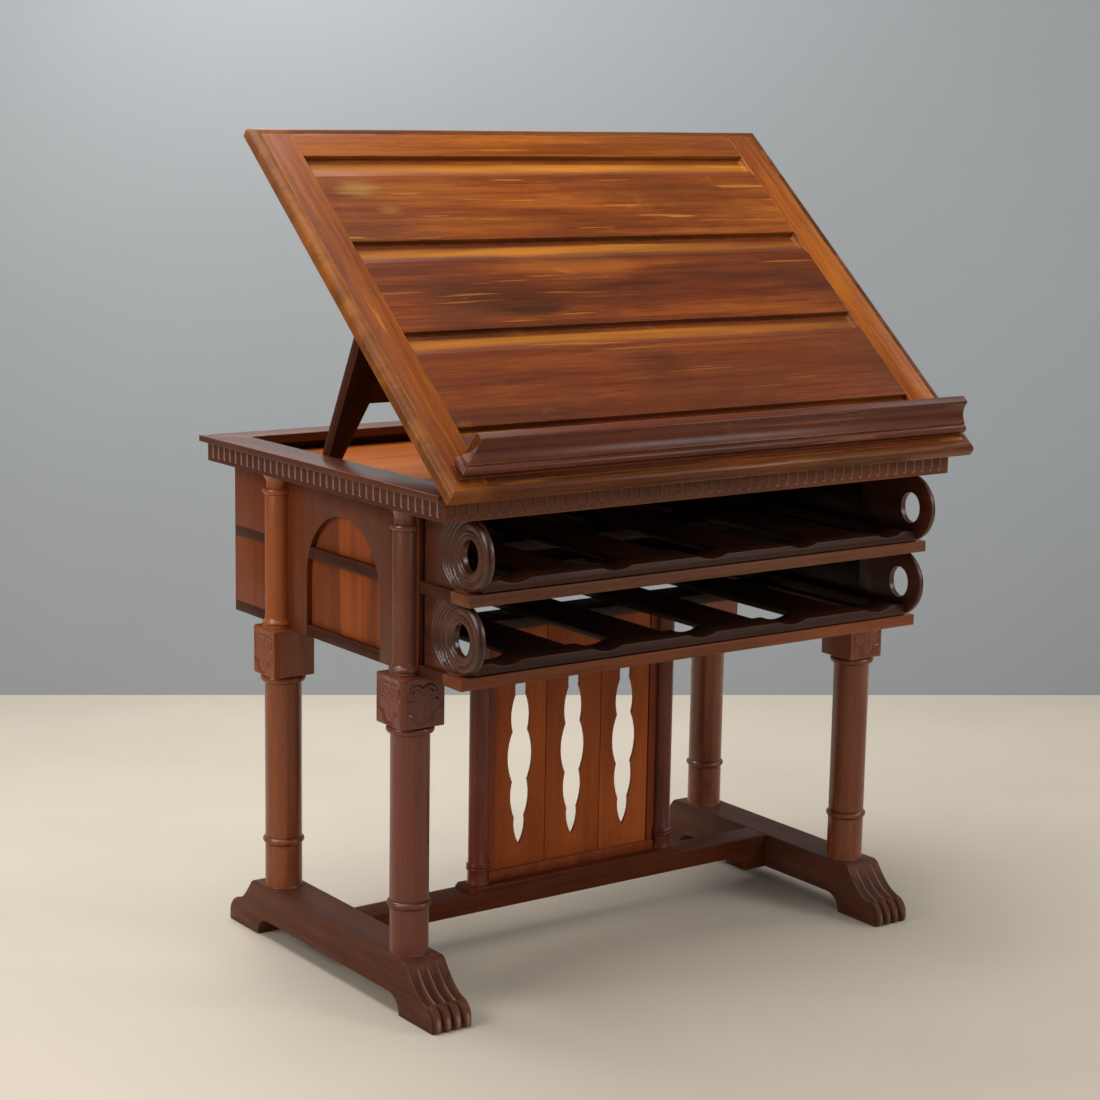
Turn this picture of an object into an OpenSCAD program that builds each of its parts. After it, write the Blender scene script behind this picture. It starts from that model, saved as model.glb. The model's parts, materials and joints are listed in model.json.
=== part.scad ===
// Folio lectern: a tilting book desk on an open two-tier case, carried by four turned legs.
// Lengths are millimetres, +Z is up, the reader stands on the -Y side.
// The modules below are drawn round a centre midway between the four legs;
// every piece is then moved by origin_y so that the whole stands centred on the origin.

/* [Feet and stretcher] */
// Height of the top of a sled foot above the floor
foot_h = 90; // [80:1:105]
// Width of a sled foot
foot_w = 71; // [66:1:80]
// Half of the length of a sled foot, from the middle to the toes
foot_reach = 325; // [315:1:345]
// Distance from the middle of a foot to where its top begins to slope to the paw
foot_flat = 236; // [230:1:242]
// Height of the arch cut under a foot
foot_arch_h = 30; // [20:1:38]
// Distance from the middle of a foot to the end of the arch under it
foot_arch_reach = 222; // [190:1:235]
// Number of carved toes on each paw
toe_count = 4; // [3:1:5]
// Width of the groove between two toes
toe_gap = 3; // [2:0.5:4]
// Depth of the groove between two toes
toe_groove = 3; // [1.5:0.5:4]
// Width of the stretcher from front to back
stretcher_w = 54; // [44:1:56]
// Thickness of the stretcher at its middle
stretcher_t = 32; // [24:1:40]
// Length of the deeper block at each end of the stretcher
stretcher_block = 76; // [60:1:110]

/* [Legs] */
// Distance between the left and right leg centres
leg_span_x = 900; // [880:1:920]
// Distance between the front and back leg centres
leg_span_y = 390; // [370:1:400]
// Radius of the turned leg shaft
leg_r = 30.5; // [26:0.5:33]
// Height of the small ring above the foot
leg_ring_z = 79; // [60:1:110]
// Size of the square carved block at the top of a leg
block_w = 75; // [70:1:80]
// Radius of the rounded outer corner of the block
block_round = 9; // [4:1:12]
// Height of the square carved block
block_h = 78; // [60:1:95]
// Height of the collar turned under the block
collar_h = 13; // [9:1:18]
// Radius of the leaf motif sunk in the block faces
motif_r = 24; // [16:1:28]
// Radius of the engaged column above each block
column_r = 22; // [17:0.5:24]
// How far the centre of an engaged column stands out from the arched board
column_out = 4; // [2:1:14]

/* [Pierced panel] */
// Distance between the two slender posts
post_span = 384; // [370:1:420]
// Radius of a slender post
post_r = 16.5; // [13:0.5:19]
// Thickness of the plinth board on the stretcher
plinth_t = 8; // [5:1:14]
// How far the plinth board reaches past the posts
plinth_over = 28; // [20:1:40]
// Thickness of the pierced planks
plank_t = 6; // [5:0.5:12]
// Width of the middle plank
plank_w = 114; // [104:1:120]
// Height of the rail under the planks
panel_rail_h = 17; // [14:1:30]
// Half width of the widest lobe of a cut-out
lobe_wide = 25.5; // [20:0.5:32]
// Height of the middle of the cut-outs above the floor
cut_z = 305.5; // [290:0.5:325]
// Half width of a cut-out at the necks between lobes
lobe_neck = 16.5; // [12:0.5:18]

/* [Case] */
// Height of the underside of the case above the floor
case_z = 529; // [500:1:560]
// Overall width of the case at its front rails
case_w = 908; // [900:1:912]
// Distance from the leg centres' midline forward to the lower front rail
case_front = 338.5; // [330:0.5:350]
// Distance from the leg centres' midline back to the case back
case_back = 350; // [330:1:352]
// How much further forward the upper tier reaches than the lower tier
tier_step = 20; // [10:1:28]
// Clear height of each tier
tier_h = 110; // [100:1:125]
// Thickness of the horizontal frames of the case
rail_t = 18; // [14:1:24]
// Width of the rails of the horizontal frames
rail_w = 50; // [40:1:60]
// Width of the cross rails under the trays
cross_w = 74; // [50:1:90]
// How far the cross rails stand behind the middle of the legs
cross_set = 15; // [0:1:30]
// Thickness of the side and back boards
board_t = 12; // [8:1:16]
// How far the arched board stands proud of the side boards
arch_t = 10; // [6:1:12]
// Half width of the arch in the side board
arch_r = 112; // [80:1:125]
// How far the scroll-ended cheeks stand back from the ends of the front rails
cheek_set = 10; // [8:0.5:14]
// Distance of the crown of the arch below the top of the case
crown_drop = 47; // [30:1:60]
// Thickness of the scroll-ended cheeks
cheek_t = 12; // [10:1:16]
// Width of the shadow gap between the cheeks and the arched board
shadow_gap = 3; // [1:0.5:5]
// How far the eye of a scroll stands behind the front of its rail
scroll_back = 18; // [10:1:30]
// How far the centre of the rounded end stands behind the eye
scroll_shift = 4; // [0:0.5:8]
// Radius of the hole through each scroll
scroll_hole_r = 25; // [20:0.5:30]
// Depth of the rings carved in each scroll
scroll_groove = 2.5; // [1:0.5:4]

/* [Trays] */
// Height of the front rail of a tray
tray_rail_h = 16; // [12:0.5:22]
// Shadow gap under the front rail of a tray
tray_rail_gap = 2.5; // [1:0.5:4]
// Clearance under and beside a sliding tray
tray_clear = 0.6; // [0.4:0.1:1.5]
// Distance between two finger dips, and between two slat gaps
dip_pitch = 186; // [170:1:195]
// Depth of a finger dip
dip_depth = 6; // [4:0.5:8]
// Width of a finger dip
dip_w = 54; // [40:1:66]
// Width of a slat
slat_w = 96; // [80:1:110]
// Thickness of a slat
slat_t = 10; // [7:0.5:11]
// Width of the side runners of a tray
runner_w = 19; // [14:1:24]

/* [Frieze and top] */
// Height of the fluted frieze
frieze_h = 28; // [22:1:36]
// How far the frieze stands out beyond the case at the sides
frieze_out = 43.5; // [40:0.5:48]
// How far the frieze stands out beyond the case at the back
frieze_back_out = 11.5; // [8:0.5:16]
// Distance between two flutes
flute_pitch = 19.5; // [16:0.5:28]
// Radius of the gouge that cuts the flutes
flute_r = 4; // [3:0.5:7]
// Depth of a flute
flute_depth = 2; // [1:0.5:3]
// Thickness of the plain edge of the top frame
top_edge_t = 10; // [8:1:14]
// Height of the small cove under the top edge
top_cove_h = 5; // [3:1:8]
// How far the top frame stands out beyond the frieze
top_out = 16.5; // [12:0.5:20]
// Width of the side rails of the top frame
top_side_w = 65; // [60:1:70]
// Width of the front and back rails of the top frame
top_end_w = 58; // [54:1:60]
// Thickness of the board that closes the case and floors the well
well_floor_t = 14; // [10:1:18]

/* [Desk] */
// Angle of the reading desk above level
desk_tilt = 40.3; // [38:0.1:42]
// Width of the reading desk
desk_w = 1030; // [1010:1:1060]
// Length of the reading desk up its slope
desk_len = 774.5; // [760:0.5:790]
// Thickness of the reading desk
desk_t = 20.5; // [18:0.5:24]
// Width of the rounded moulding round the desk
edge_w = 17; // [14:0.5:20]
// Width of the side stiles of the desk
stile_w = 53; // [44:1:64]
// Width of the top rail of the desk
desk_rail_w = 51.5; // [44:0.5:60]
// Width of the bottom rail of the desk, under the lowest board
desk_foot_rail_w = 108.5; // [96:0.5:120]
// Width of a coved channel
channel_w = 48; // [36:1:56]
// Depth of a coved channel
channel_depth = 9; // [6:0.5:11]
// Height of the book ledge above the desk
ledge_h = 52; // [40:1:60]
// Thickness of the book ledge at its foot
ledge_t = 48; // [42:1:56]
// Distance from the front edge of the desk to the ledge
ledge_inset = 22; // [18:1:26]
// How far the desk reaches in front of its hinge line
desk_overhang = 19.5; // [16:0.5:24]
// Distance of the hinge line in front of the top frame
hinge_out = 9; // [7:0.5:11]
// Distance of an outer desk hinge from the inside of the stile
hinge_inset = 65; // [50:1:90]
// Radius of the hinge knuckles
knuckle_r = 3.6; // [3.2:0.1:4]
// Radius of the hinge pins
pin_r = 1.75; // [1.5:0.05:2]
// Length of one knuckle
knuckle_len = 20; // [14:1:26]

/* [Prop strut] */
// Angle of the prop strut off the vertical
strut_lean = 26.4; // [25:0.1:28]
// Thickness of the prop strut
strut_t = 20; // [16:1:22]
// Distance of the strut hinge up the desk from the desk hinge
strut_reach = 420; // [412:1:428]
// Distance of the strut hinge below the desk
strut_drop = 8; // [7:0.5:10]
// Overall width of the prop strut
strut_w = 882; // [860:1:884]
// Width of a strut leg at the foot
strut_foot_w = 25; // [20:1:32]
// Width of a strut leg at the shoulder
strut_leg_w = 49; // [40:1:60]
// Height of the shoulder above the strut foot
strut_shoulder = 92; // [70:1:120]
// Turn of the strut for each degree that the desk turns
strut_ratio = -2.8; // [-2.9:0.05:-2.75]
// Height of the notched rack where the strut stands
rack_h = 13.7; // [12.9:0.1:15]
// Depth of the notches in the rack
notch_depth = 3; // [1.5:0.5:4]

/* [Hidden] */
$fn = 64;
eps = 0.01;
knuckle_gap = 0.3;
pin_clear = 0.08;
leaf_t = 2;
leaf_len = 34;
strut_hinge_x = [-300, 300];
rack_steps = 24;
rack_w = 20;
rack_low = -22;
rack_high = 1.5;
foot_clear = 0.6;
batten_w = 60;
batten_t = 14;

leg_x = leg_span_x / 2;
leg_y = leg_span_y / 2;
mid_z = case_z + rail_t + tier_h;
case_top = mid_z + rail_t + tier_h;
lower_z = case_z + rail_t;
upper_z = mid_z + rail_t;
front_lower = -case_front;
front_upper = -case_front - tier_step;
side_x = case_w / 2 - arch_t;
inner_x = case_w / 2 - cheek_set - cheek_t;
cheek_back = -(leg_y + 28.5);
frieze_x = case_w / 2 + frieze_out;
frieze_front = front_upper + 1.2;
frieze_back = case_back + frieze_back_out;
frieze_z = case_top + frieze_h;
top_z = frieze_z + top_cove_h + top_edge_t;
top_x = frieze_x + top_out;
top_front = frieze_front - 7.7;
well_x = top_x - top_side_w;
well_front = top_front + top_end_w;
well_back = frieze_back - top_end_w;
well_z = case_top + well_floor_t;
panel_z = foot_h + plinth_t;
scroll_r = tier_h / 2;

desk_gap = 1.2;
pin_y = top_front - hinge_out;
pin_z = top_z + 1.8;
desk_x = desk_w / 2;
desk_low = -desk_overhang;
desk_high = desk_len - desk_overhang;
desk_top = desk_gap + desk_t;
field_x = desk_x - edge_w - stile_w;
field_high = desk_high - edge_w - desk_rail_w;
channel_pitch = (field_high - desk_low - edge_w - desk_foot_rail_w) / 3;
hinge_x = [hinge_inset - field_x, 0, field_x - hinge_inset];
strut_z = desk_gap - strut_drop;
foot_r = strut_t / 2;
strut_x = strut_w / 2;

// Turns a point of the Y-Z plane about the origin
function turned(p, a) = [p[0] * cos(a) - p[1] * sin(a), p[0] * sin(a) + p[1] * cos(a)];
// Place of the strut pin when the desk is turned by d from rest
function strut_pin(d) = [pin_y, pin_z] + turned([strut_reach, strut_z], desk_tilt + d);
rest_foot_z = well_z + rack_h + foot_r + foot_clear;
strut_len = (strut_pin(0)[1] - foot_r * sin(strut_lean) - rest_foot_z) / cos(strut_lean);
// Place of the middle of the rounded strut foot when the desk is turned by d
function foot_at(d) = strut_pin(d) + turned([-foot_r, -strut_len], strut_lean + d * (1 + strut_ratio));

edge_round = desk_t / 2;
nose_y = pin_y + turned([desk_low + edge_round, desk_top - edge_round], desk_tilt)[0] - edge_round;
scroll_nose_y = front_upper + scroll_back + scroll_shift - scroll_r;
origin_y = -(min(nose_y, scroll_nose_y) + frieze_back) / 2;

// Placing helpers
module placed() {
    translate([0, origin_y, 0]) children();
}

module both_sides() {
    children();
    mirror([1, 0, 0]) children();
}

// A box given by its lowest and highest corners
module block(low, high) {
    translate(low) cube(high - low);
}

// A flat outline drawn as [y, z], given thickness along X from x0 to x1
module along_x(x0, x1) {
    translate([x0, 0, 0]) rotate([90, 0, 90]) linear_extrude(x1 - x0) children();
}

// A flat outline drawn as [x, z], given thickness along Y from y0 to y1
module along_y(y0, y1) {
    translate([0, y1, 0]) rotate([90, 0, 0]) linear_extrude(y1 - y0) children();
}

// Carries a piece drawn flat, with its hinge pin at the origin, up to the tilted desk
module on_desk() {
    translate([0, pin_y, pin_z]) rotate([desk_tilt, 0, 0]) children();
}

// Carries a piece drawn hanging straight down from the strut pin
module on_strut() {
    translate([0, strut_pin(0)[0], strut_pin(0)[1]]) rotate([strut_lean, 0, 0]) children();
}

// Sled feet: outline of one end, with its paw sunk by the depth of a groove
module paw_outline(sink) {
    reach = foot_reach - sink;
    top = foot_h - sink;
    slope = foot_reach - foot_flat;
    polygon([
        [-reach + 9, 0], [-reach + 1, 5], [-reach, 12], [-reach + 3, 23], [-reach + 9, 31],
        [-reach + 0.2 * slope, 37], [-reach + 0.28 * slope, 40], [-reach + 0.47 * slope, 46],
        [-reach + 0.6 * slope, 54], [-reach + 0.73 * slope, 67], [-foot_flat - 13, top - 11],
        [-foot_flat - 6, top - 3], [-foot_flat + 2, top],
        [-foot_flat + 2, 0]
    ]);
}

module foot_arch() {
    hull() {
        translate([-foot_arch_reach, -1]) square([2 * foot_arch_reach, 1 + eps]);
        for (s = [-1, 1])
            translate([s * (foot_arch_reach - foot_arch_h), 0]) circle(r = foot_arch_h, $fn = 32);
    }
}

module foot(side) {
    toe_w = (foot_w - (toe_count - 1) * toe_gap) / toe_count;
    translate([side * leg_x - foot_w / 2, 0, 0]) difference() {
        union() {
            block([0, -foot_flat, 0], [foot_w, foot_flat, foot_h]);
            for (s = [0, 1]) mirror([0, s, 0]) {
                along_x(0, foot_w) paw_outline(toe_groove);
                for (i = [0 : toe_count - 1])
                    translate([i * (toe_w + toe_gap), 0, 0]) along_x(0, toe_w) paw_outline(0);
            }
        }
        along_x(-1, foot_w + 1) foot_arch();
    }
}

module foot_left() {
    color("#4a2418") placed() foot(-1);
}

module foot_right() {
    color("#4a2418") placed() foot(1);
}

// Stretcher with a cove where it deepens at each end
module stretcher() {
    end_x = leg_x - foot_w / 2;
    cove = foot_h - stretcher_t - foot_arch_h;
    block_x = end_x - stretcher_block;
    color("#5a2b1a") placed() along_y(-stretcher_w / 2, stretcher_w / 2) difference() {
        translate([-end_x, foot_arch_h]) square([2 * end_x, foot_h - foot_arch_h]);
        translate([-block_x, foot_arch_h - 1]) square([2 * block_x, cove + 1]);
        for (s = [-1, 1]) translate([s * block_x, foot_arch_h]) intersection() {
            circle(r = cove);
            translate([-cove, 0]) square([2 * cove, cove]);
        }
    }
}

// Turned leg with its square carved block
module motif() {
    for (a = [0 : 90 : 270])
        rotate([0, 0, a]) translate([motif_r * 0.42, 0, 0]) cylinder(r = motif_r * 0.36, h = 2.5);
    difference() {
        cylinder(r = motif_r, h = 1.5);
        translate([0, 0, -eps]) cylinder(r = motif_r - 3, h = 1.5 + 2 * eps);
    }
}

// Plan of the block, with its outer corner rounded
module block_plan(sx, sy) {
    half = block_w / 2;
    hull() {
        translate([sx < 0 ? block_round - half : -half, -half]) square([block_w - block_round, block_w - eps]);
        translate([-half, sy < 0 ? block_round - half : -half]) square([block_w - eps, block_w - block_round]);
        translate([sx * (half - block_round), sy * (half - block_round)]) circle(r = block_round);
    }
}

module turned_leg(sx, sy) {
    h = case_z - foot_h;
    shaft = h - block_h - collar_h;
    block_z = h - block_h;
    color("#5e2a1c") placed() translate([sx * leg_x, sy * leg_y, foot_h]) {
        rotate_extrude() polygon(concat(
            [[0, 0], [leg_r, 0]],
            [for (a = [-80 : 20 : 80]) [leg_r + 2.8 * cos(a), leg_ring_z + 3.5 * sin(a)]],
            [[leg_r, shaft], [leg_r + 2, shaft + 1.5]],
            [for (a = [-60 : 15 : 60]) [leg_r + 3.5 + 3.5 * cos(a), shaft + 6 + 5 * sin(a)]],
            [[leg_r + 2, block_z], [0, block_z]]
        ));
        difference() {
            translate([0, 0, block_z]) linear_extrude(block_h) block_plan(sx, sy);
            for (a = [sx < 0 ? 180 : 0, sy * 90])
                rotate([0, 0, a]) translate([block_w / 2 + eps, 0, block_z + block_h / 2])
                    rotate([0, -90, 0]) motif();
        }
    }
}

module leg_front_left() { turned_leg(-1, -1); }

module leg_front_right() { turned_leg(1, -1); }

module leg_back_left() { turned_leg(-1, 1); }

module leg_back_right() { turned_leg(1, 1); }

// Pierced panel between the stretcher and the case
module panel_plinth() {
    color("#4a2418") placed() along_y(-stretcher_w / 2 + 2, stretcher_w / 2 - 2) difference() {
        translate([-post_span / 2 - plinth_over, foot_h]) square([post_span + 2 * plinth_over, plinth_t]);
        for (s = [-1, 1])
            translate([s * (post_span / 2 + plinth_over), foot_h + plinth_t]) circle(r = plinth_t / 2);
    }
}

module post(x) {
    h = case_z - panel_z;
    translate([x, 0, panel_z]) rotate_extrude() polygon(concat(
        [[0, 0], [post_r + 3, 0], [post_r + 3, 3], [post_r + 1, 8]],
        [for (a = [-80 : 20 : 80]) [post_r + 2.6 * cos(a), 27 + 2.5 * sin(a)]],
        [for (a = [-80 : 20 : 80]) [post_r + 2.6 * cos(a), 33 + 2.5 * sin(a)]],
        [[post_r, 37], [post_r, h], [0, h]]
    ));
}

module panel_posts() {
    color("#4f2419") placed() both_sides() post(post_span / 2);
}

post_foot_h = 38;
stile_out = post_span / 2 - post_r - 0.2;
plank_out = stile_out - 15;

// Room round the turned foot and rings of the posts
module post_room() {
    both_sides() translate([post_span / 2, 0, panel_z - 1]) cylinder(r = post_r + 3.4, h = post_foot_h + 1);
}

module panel_bottom_rail() {
    color("#5a2b1a") placed() difference() {
        block([-stile_out, -5, panel_z], [stile_out, plank_t + 5, panel_z + panel_rail_h]);
        post_room();
    }
}

module panel_stiles() {
    color("#7a3c1e") placed() difference() {
        both_sides() block([plank_out, -3, panel_z + panel_rail_h], [stile_out, plank_t + 3, case_z]);
        post_room();
    }
}

// One lobe of a cut-out, upwards from z0 (or downwards): two mirrored arcs between its necks
module lobe(z0, up, h, near, far, peak) {
    a = sqrt(peak - near);
    b = sqrt(peak - far);
    r = pow(h / (a + b), 2) / 2;
    widest = h * a / (a + b);
    translate([0, z0]) mirror([0, up ? 0 : 1]) intersection() {
        translate([peak - r, widest]) circle(r = r, $fn = 96);
        translate([r - peak, widest]) circle(r = r, $fn = 96);
        translate([-peak, -eps]) square([2 * peak, h + 2 * eps]);
    }
}

module cut_out() {
    wide_h = 87;
    side_h = 62.5;
    tip_h = 49.5;
    outer_neck = lobe_neck - 5;
    lobe(cut_z - wide_h / 2, true, wide_h, lobe_neck, lobe_neck, lobe_wide);
    for (up = [true, false]) {
        s = up ? 1 : -1;
        lobe(cut_z + s * wide_h / 2, up, side_h, lobe_neck, outer_neck, lobe_neck + 3);
        lobe(cut_z + s * (wide_h / 2 + side_h), up, tip_h, outer_neck, 0.05, outer_neck + 0.6);
    }
}

module plank(x0, x1) {
    color("#8a4520") placed() along_y(0, plank_t) difference() {
        translate([x0 + 1, panel_z + panel_rail_h]) square([x1 - x0 - 2, case_z - panel_z - panel_rail_h]);
        translate([(x0 + x1) / 2, 0]) cut_out();
    }
}

module panel_plank_left() { plank(-plank_out, -plank_w / 2); }

module panel_plank_middle() { plank(-plank_w / 2, plank_w / 2); }

module panel_plank_right() { plank(plank_w / 2, plank_out); }

// Horizontal frames of the case
module bottom_front_rail() {
    color("#6e3620") placed()
        block([-case_w / 2, front_lower, case_z], [case_w / 2, front_lower + rail_w, lower_z]);
}

module bottom_back_rail() {
    color("#4c281c") placed()
        block([-side_x, case_back - rail_w, case_z], [side_x, case_back, lower_z]);
}

// Side rails, set in where the legs of the arched board cover them
module side_rail(front, z0) {
    block([case_w / 2 - rail_w, front + rail_w, z0], [side_x, case_back - rail_w, z0 + rail_t]);
    block([side_x - 1, front + rail_w, z0], [case_w / 2, cheek_back, z0 + rail_t]);
    block([side_x - 1, leg_y + 20, z0], [side_x, case_back - rail_w, z0 + rail_t]);
    block([side_x, leg_y + 20, z0], [case_w / 2, case_back, z0 + rail_t]);
    intersection() {
        along_x(side_x - 1, case_w / 2) arch_opening();
        block([side_x - 1, -arch_r, z0], [case_w / 2, arch_r, z0 + rail_t]);
    }
}

module bottom_side_rails() {
    color("#4c281c") placed() both_sides() side_rail(front_lower, case_z);
}

module mid_front_rail() {
    color("#6e3620") placed()
        block([-case_w / 2, front_upper, mid_z], [case_w / 2, front_upper + rail_w, upper_z]);
}

module mid_back_rail() {
    color("#4c281c") placed()
        block([-side_x, case_back - rail_w, mid_z], [side_x, case_back, upper_z]);
}

module mid_side_rails() {
    color("#4c281c") placed() both_sides() side_rail(front_upper, mid_z);
}

module cross_rails() {
    x = case_w / 2 - rail_w;
    color("#4c281c") placed() for (z = [case_z, mid_z])
        block([-x, cross_set - cross_w / 2, z], [x, cross_set + cross_w / 2, z + rail_t]);
}

// Cheeks with pierced, ring-carved scroll ends
module scroll_cheek(side, front, z0) {
    eye = front + scroll_back;
    centre = eye + scroll_shift;
    outer = case_w / 2 - cheek_set;
    color("#4a2a22") placed() mirror([side < 0 ? 1 : 0, 0, 0]) difference() {
        along_x(inner_x, outer) union() {
            translate([centre, z0 + scroll_r]) circle(r = scroll_r, $fn = 96);
            translate([centre, z0]) square([cheek_back - centre, tier_h]);
        }
        translate([0, eye, z0 + scroll_r]) rotate([0, 90, 0]) {
            translate([0, 0, inner_x - 1]) cylinder(r = scroll_hole_r, h = cheek_t + 2);
            for (k = [0 : 2])
                translate([0, 0, outer - scroll_groove]) difference() {
                    cylinder(r = scroll_hole_r + 9 + 7 * k, h = scroll_groove + 1);
                    translate([0, 0, -1]) cylinder(r = scroll_hole_r + 6 + 7 * k, h = scroll_groove + 3);
                }
        }
    }
}

module scroll_cheek_lower_left() { scroll_cheek(-1, front_lower, lower_z); }

module scroll_cheek_lower_right() { scroll_cheek(1, front_lower, lower_z); }

module scroll_cheek_upper_left() { scroll_cheek(-1, front_upper, upper_z); }

module scroll_cheek_upper_right() { scroll_cheek(1, front_upper, upper_z); }

// Side and back boards
module side_boards() {
    color("#8a4526") placed() both_sides() for (z = [lower_z, upper_z]) {
        block([side_x - board_t, cheek_back, z], [side_x, case_back, z + tier_h]);
        block([side_x - 1, leg_y + 20, z], [case_w / 2, case_back, z + tier_h]);
    }
}

module arch_opening() {
    crown = case_top - crown_drop;
    translate([-arch_r, case_z - 1]) square([2 * arch_r, crown - arch_r - case_z + 1]);
    translate([0, crown - arch_r]) circle(r = arch_r, $fn = 96);
}

module arch_board() {
    front = cheek_back + shadow_gap;
    along_x(side_x, case_w / 2) difference() {
        translate([front, case_z]) square([leg_y + 20 - front, case_top - case_z]);
        arch_opening();
    }
}

module arch_board_left() {
    color("#84421f") placed() mirror([1, 0, 0]) arch_board();
}

module arch_board_right() {
    color("#84421f") placed() arch_board();
}

module engaged_column() {
    h = case_top - case_z;
    rotate_extrude() polygon(concat(
        [[0, 0], [column_r + 4, 0], [column_r + 4, 4]],
        [for (a = [-60 : 15 : 60]) [column_r + 2 + 2.5 * cos(a), 8 + 3.5 * sin(a)]],
        [[column_r + 1, 13], [column_r, 20], [column_r, h - 36]],
        [for (a = [-80 : 20 : 80]) [column_r + 3.5 * cos(a), h - 32 + 3.5 * sin(a)]],
        [[column_r, h - 28], [column_r - 1, h - 22], [column_r + 3, h - 8], [column_r + 4, h], [0, h]]
    ));
}

module engaged_columns() {
    reach = column_out + column_r + 10;
    color("#6a3220") placed() both_sides() for (s = [-1, 1]) intersection() {
        translate([case_w / 2 + column_out, s * leg_y, case_z]) engaged_column();
        block([case_w / 2, s * leg_y - reach, case_z], [case_w / 2 + reach, s * leg_y + reach, case_top]);
    }
}

module back_boards() {
    x = side_x - board_t;
    color("#7a3c20") placed() for (z = [lower_z, upper_z])
        block([-x, case_back - board_t, z], [x, case_back, z + tier_h]);
}

// Fluted frieze, mitred at the corners
module flutes(length, count) {
    for (i = [0 : count - 1])
        translate([(i - (count - 1) / 2) * flute_pitch, flute_depth - flute_r, 6])
            cylinder(r = flute_r, h = frieze_h, $fn = 32);
}

module frieze_piece(half, depth, count) {
    difference() {
        linear_extrude(frieze_h)
            polygon([[-half, 0], [half, 0], [half - depth, depth], [depth - half, depth]]);
        flutes(2 * half, count);
    }
}

frieze_t = frieze_x - well_x;

module frieze_front() {
    count = floor((2 * frieze_x - 8) / flute_pitch);
    color("#4f2a20") placed() translate([0, frieze_front, case_top])
        frieze_piece(frieze_x, frieze_t, count);
}

module frieze_back() {
    count = floor((2 * frieze_x - 8) / flute_pitch);
    color("#4f2a20") placed() translate([0, frieze_back, case_top]) rotate([0, 0, 180])
        frieze_piece(frieze_x, frieze_t, count);
}

module frieze_sides() {
    half = (frieze_back - frieze_front) / 2;
    mid = (frieze_back + frieze_front) / 2;
    count = floor((2 * half - 8) / flute_pitch);
    color("#4f2a20") placed() both_sides()
        translate([frieze_x, mid, case_top]) rotate([0, 0, 90]) frieze_piece(half, frieze_t, count);
}

module well_floor() {
    color("#b5622a") placed() block([-well_x, frieze_front + frieze_t, case_top],
        [well_x, frieze_back - frieze_t, well_z]);
}

// Top frame round the well, mitred, with a cove under its edge
module top_outline(out, width) {
    polygon([
        [out - 1, 0], [width, 0], [width, top_cove_h + top_edge_t], [0, top_cove_h + top_edge_t],
        [0, top_cove_h], [out * 0.45, top_cove_h], [out - 1, top_cove_h * 0.3]
    ]);
}

module top_piece(half, out, width, side) {
    intersection() {
        along_x(-half, half) top_outline(out, width);
        translate([0, 0, -1]) linear_extrude(top_cove_h + top_edge_t + 2)
            polygon([[-half, 0], [half, 0], [half - side, width], [side - half, width]]);
    }
}

module top_front_rail() {
    color("#55302a") placed() translate([0, top_front, frieze_z])
        top_piece(top_x, frieze_front - top_front, top_end_w, top_side_w);
}

module top_back_rail() {
    h = top_cove_h + top_edge_t;
    color("#6a3a2a") placed() translate([0, frieze_back, frieze_z]) rotate([0, 0, 180]) intersection() {
        linear_extrude(h) polygon([[-top_x, 0], [top_x, 0],
            [top_x - top_side_w, top_end_w], [top_side_w - top_x, top_end_w]]);
        along_y(-1, top_end_w + 1) intersection() {
            translate([-top_x, 0]) top_outline(top_out, 2 * top_x - top_out);
            mirror([1, 0]) translate([-top_x, 0]) top_outline(top_out, 2 * top_x - top_out);
        }
    }
}

module top_side_rails() {
    half = (frieze_back - top_front) / 2;
    mid = (frieze_back + top_front) / 2;
    color("#6a3a2a") placed() both_sides()
        translate([top_x, mid, frieze_z]) rotate([0, 0, 90])
            top_piece(half, top_out, top_side_w, top_end_w);
}

// Notched racks that the strut feet stand on
module strut_racks() {
    step = (rack_high - rack_low) / rack_steps;
    teeth = [for (i = [0 : rack_steps])
        let (d = rack_low + i * step)
        foot_at(d) - [0, foot_r + foot_clear + notch_depth * (i % 2)]];
    color("#8a4a24") placed() both_sides()
        along_x(strut_x - strut_foot_w / 2 - rack_w / 2, strut_x - strut_foot_w / 2 + rack_w / 2)
            polygon(concat(teeth, [[teeth[rack_steps][0], well_z], [teeth[0][0], well_z]]));
}

// Hinge parts; a knuckle stands on the X axis
module knuckle(x0, x1, bore) {
    translate([x0, 0, 0]) rotate([0, 90, 0]) difference() {
        cylinder(r = knuckle_r, h = x1 - x0);
        if (bore > 0) translate([0, 0, -1]) cylinder(r = bore, h = x1 - x0 + 2);
    }
}

module outer_knuckles() {
    half = 1.5 * knuckle_len;
    knuckle(-half, -knuckle_len / 2, 0);
    knuckle(knuckle_len / 2, half, 0);
    translate([-half + 1, 0, 0]) rotate([0, 90, 0]) cylinder(r = pin_r, h = 2 * half - 2);
}

module middle_knuckle() {
    knuckle(-knuckle_len / 2 + knuckle_gap, knuckle_len / 2 - knuckle_gap, pin_r + pin_clear);
}

module desk_hinge_fixed_leaves() {
    color("#6b6258") placed() translate([0, pin_y, pin_z]) for (x = hinge_x)
        translate([x, 0, 0]) {
            outer_knuckles();
            for (s = [-1, 1]) translate([s * knuckle_len, 0, 0])
                block([-knuckle_len / 2, 1.9, top_z - pin_z],
                    [knuckle_len / 2, leaf_len, top_z - pin_z + leaf_t]);
        }
}

module desk_hinge_moving_leaves() {
    color("#6b6258") placed() on_desk() for (x = hinge_x)
        translate([x, 0, 0]) {
            middle_knuckle();
            half = knuckle_len / 2 - knuckle_gap;
            block([-half, 2.5, desk_gap - leaf_t], [half, leaf_len, desk_gap]);
        }
}

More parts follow.
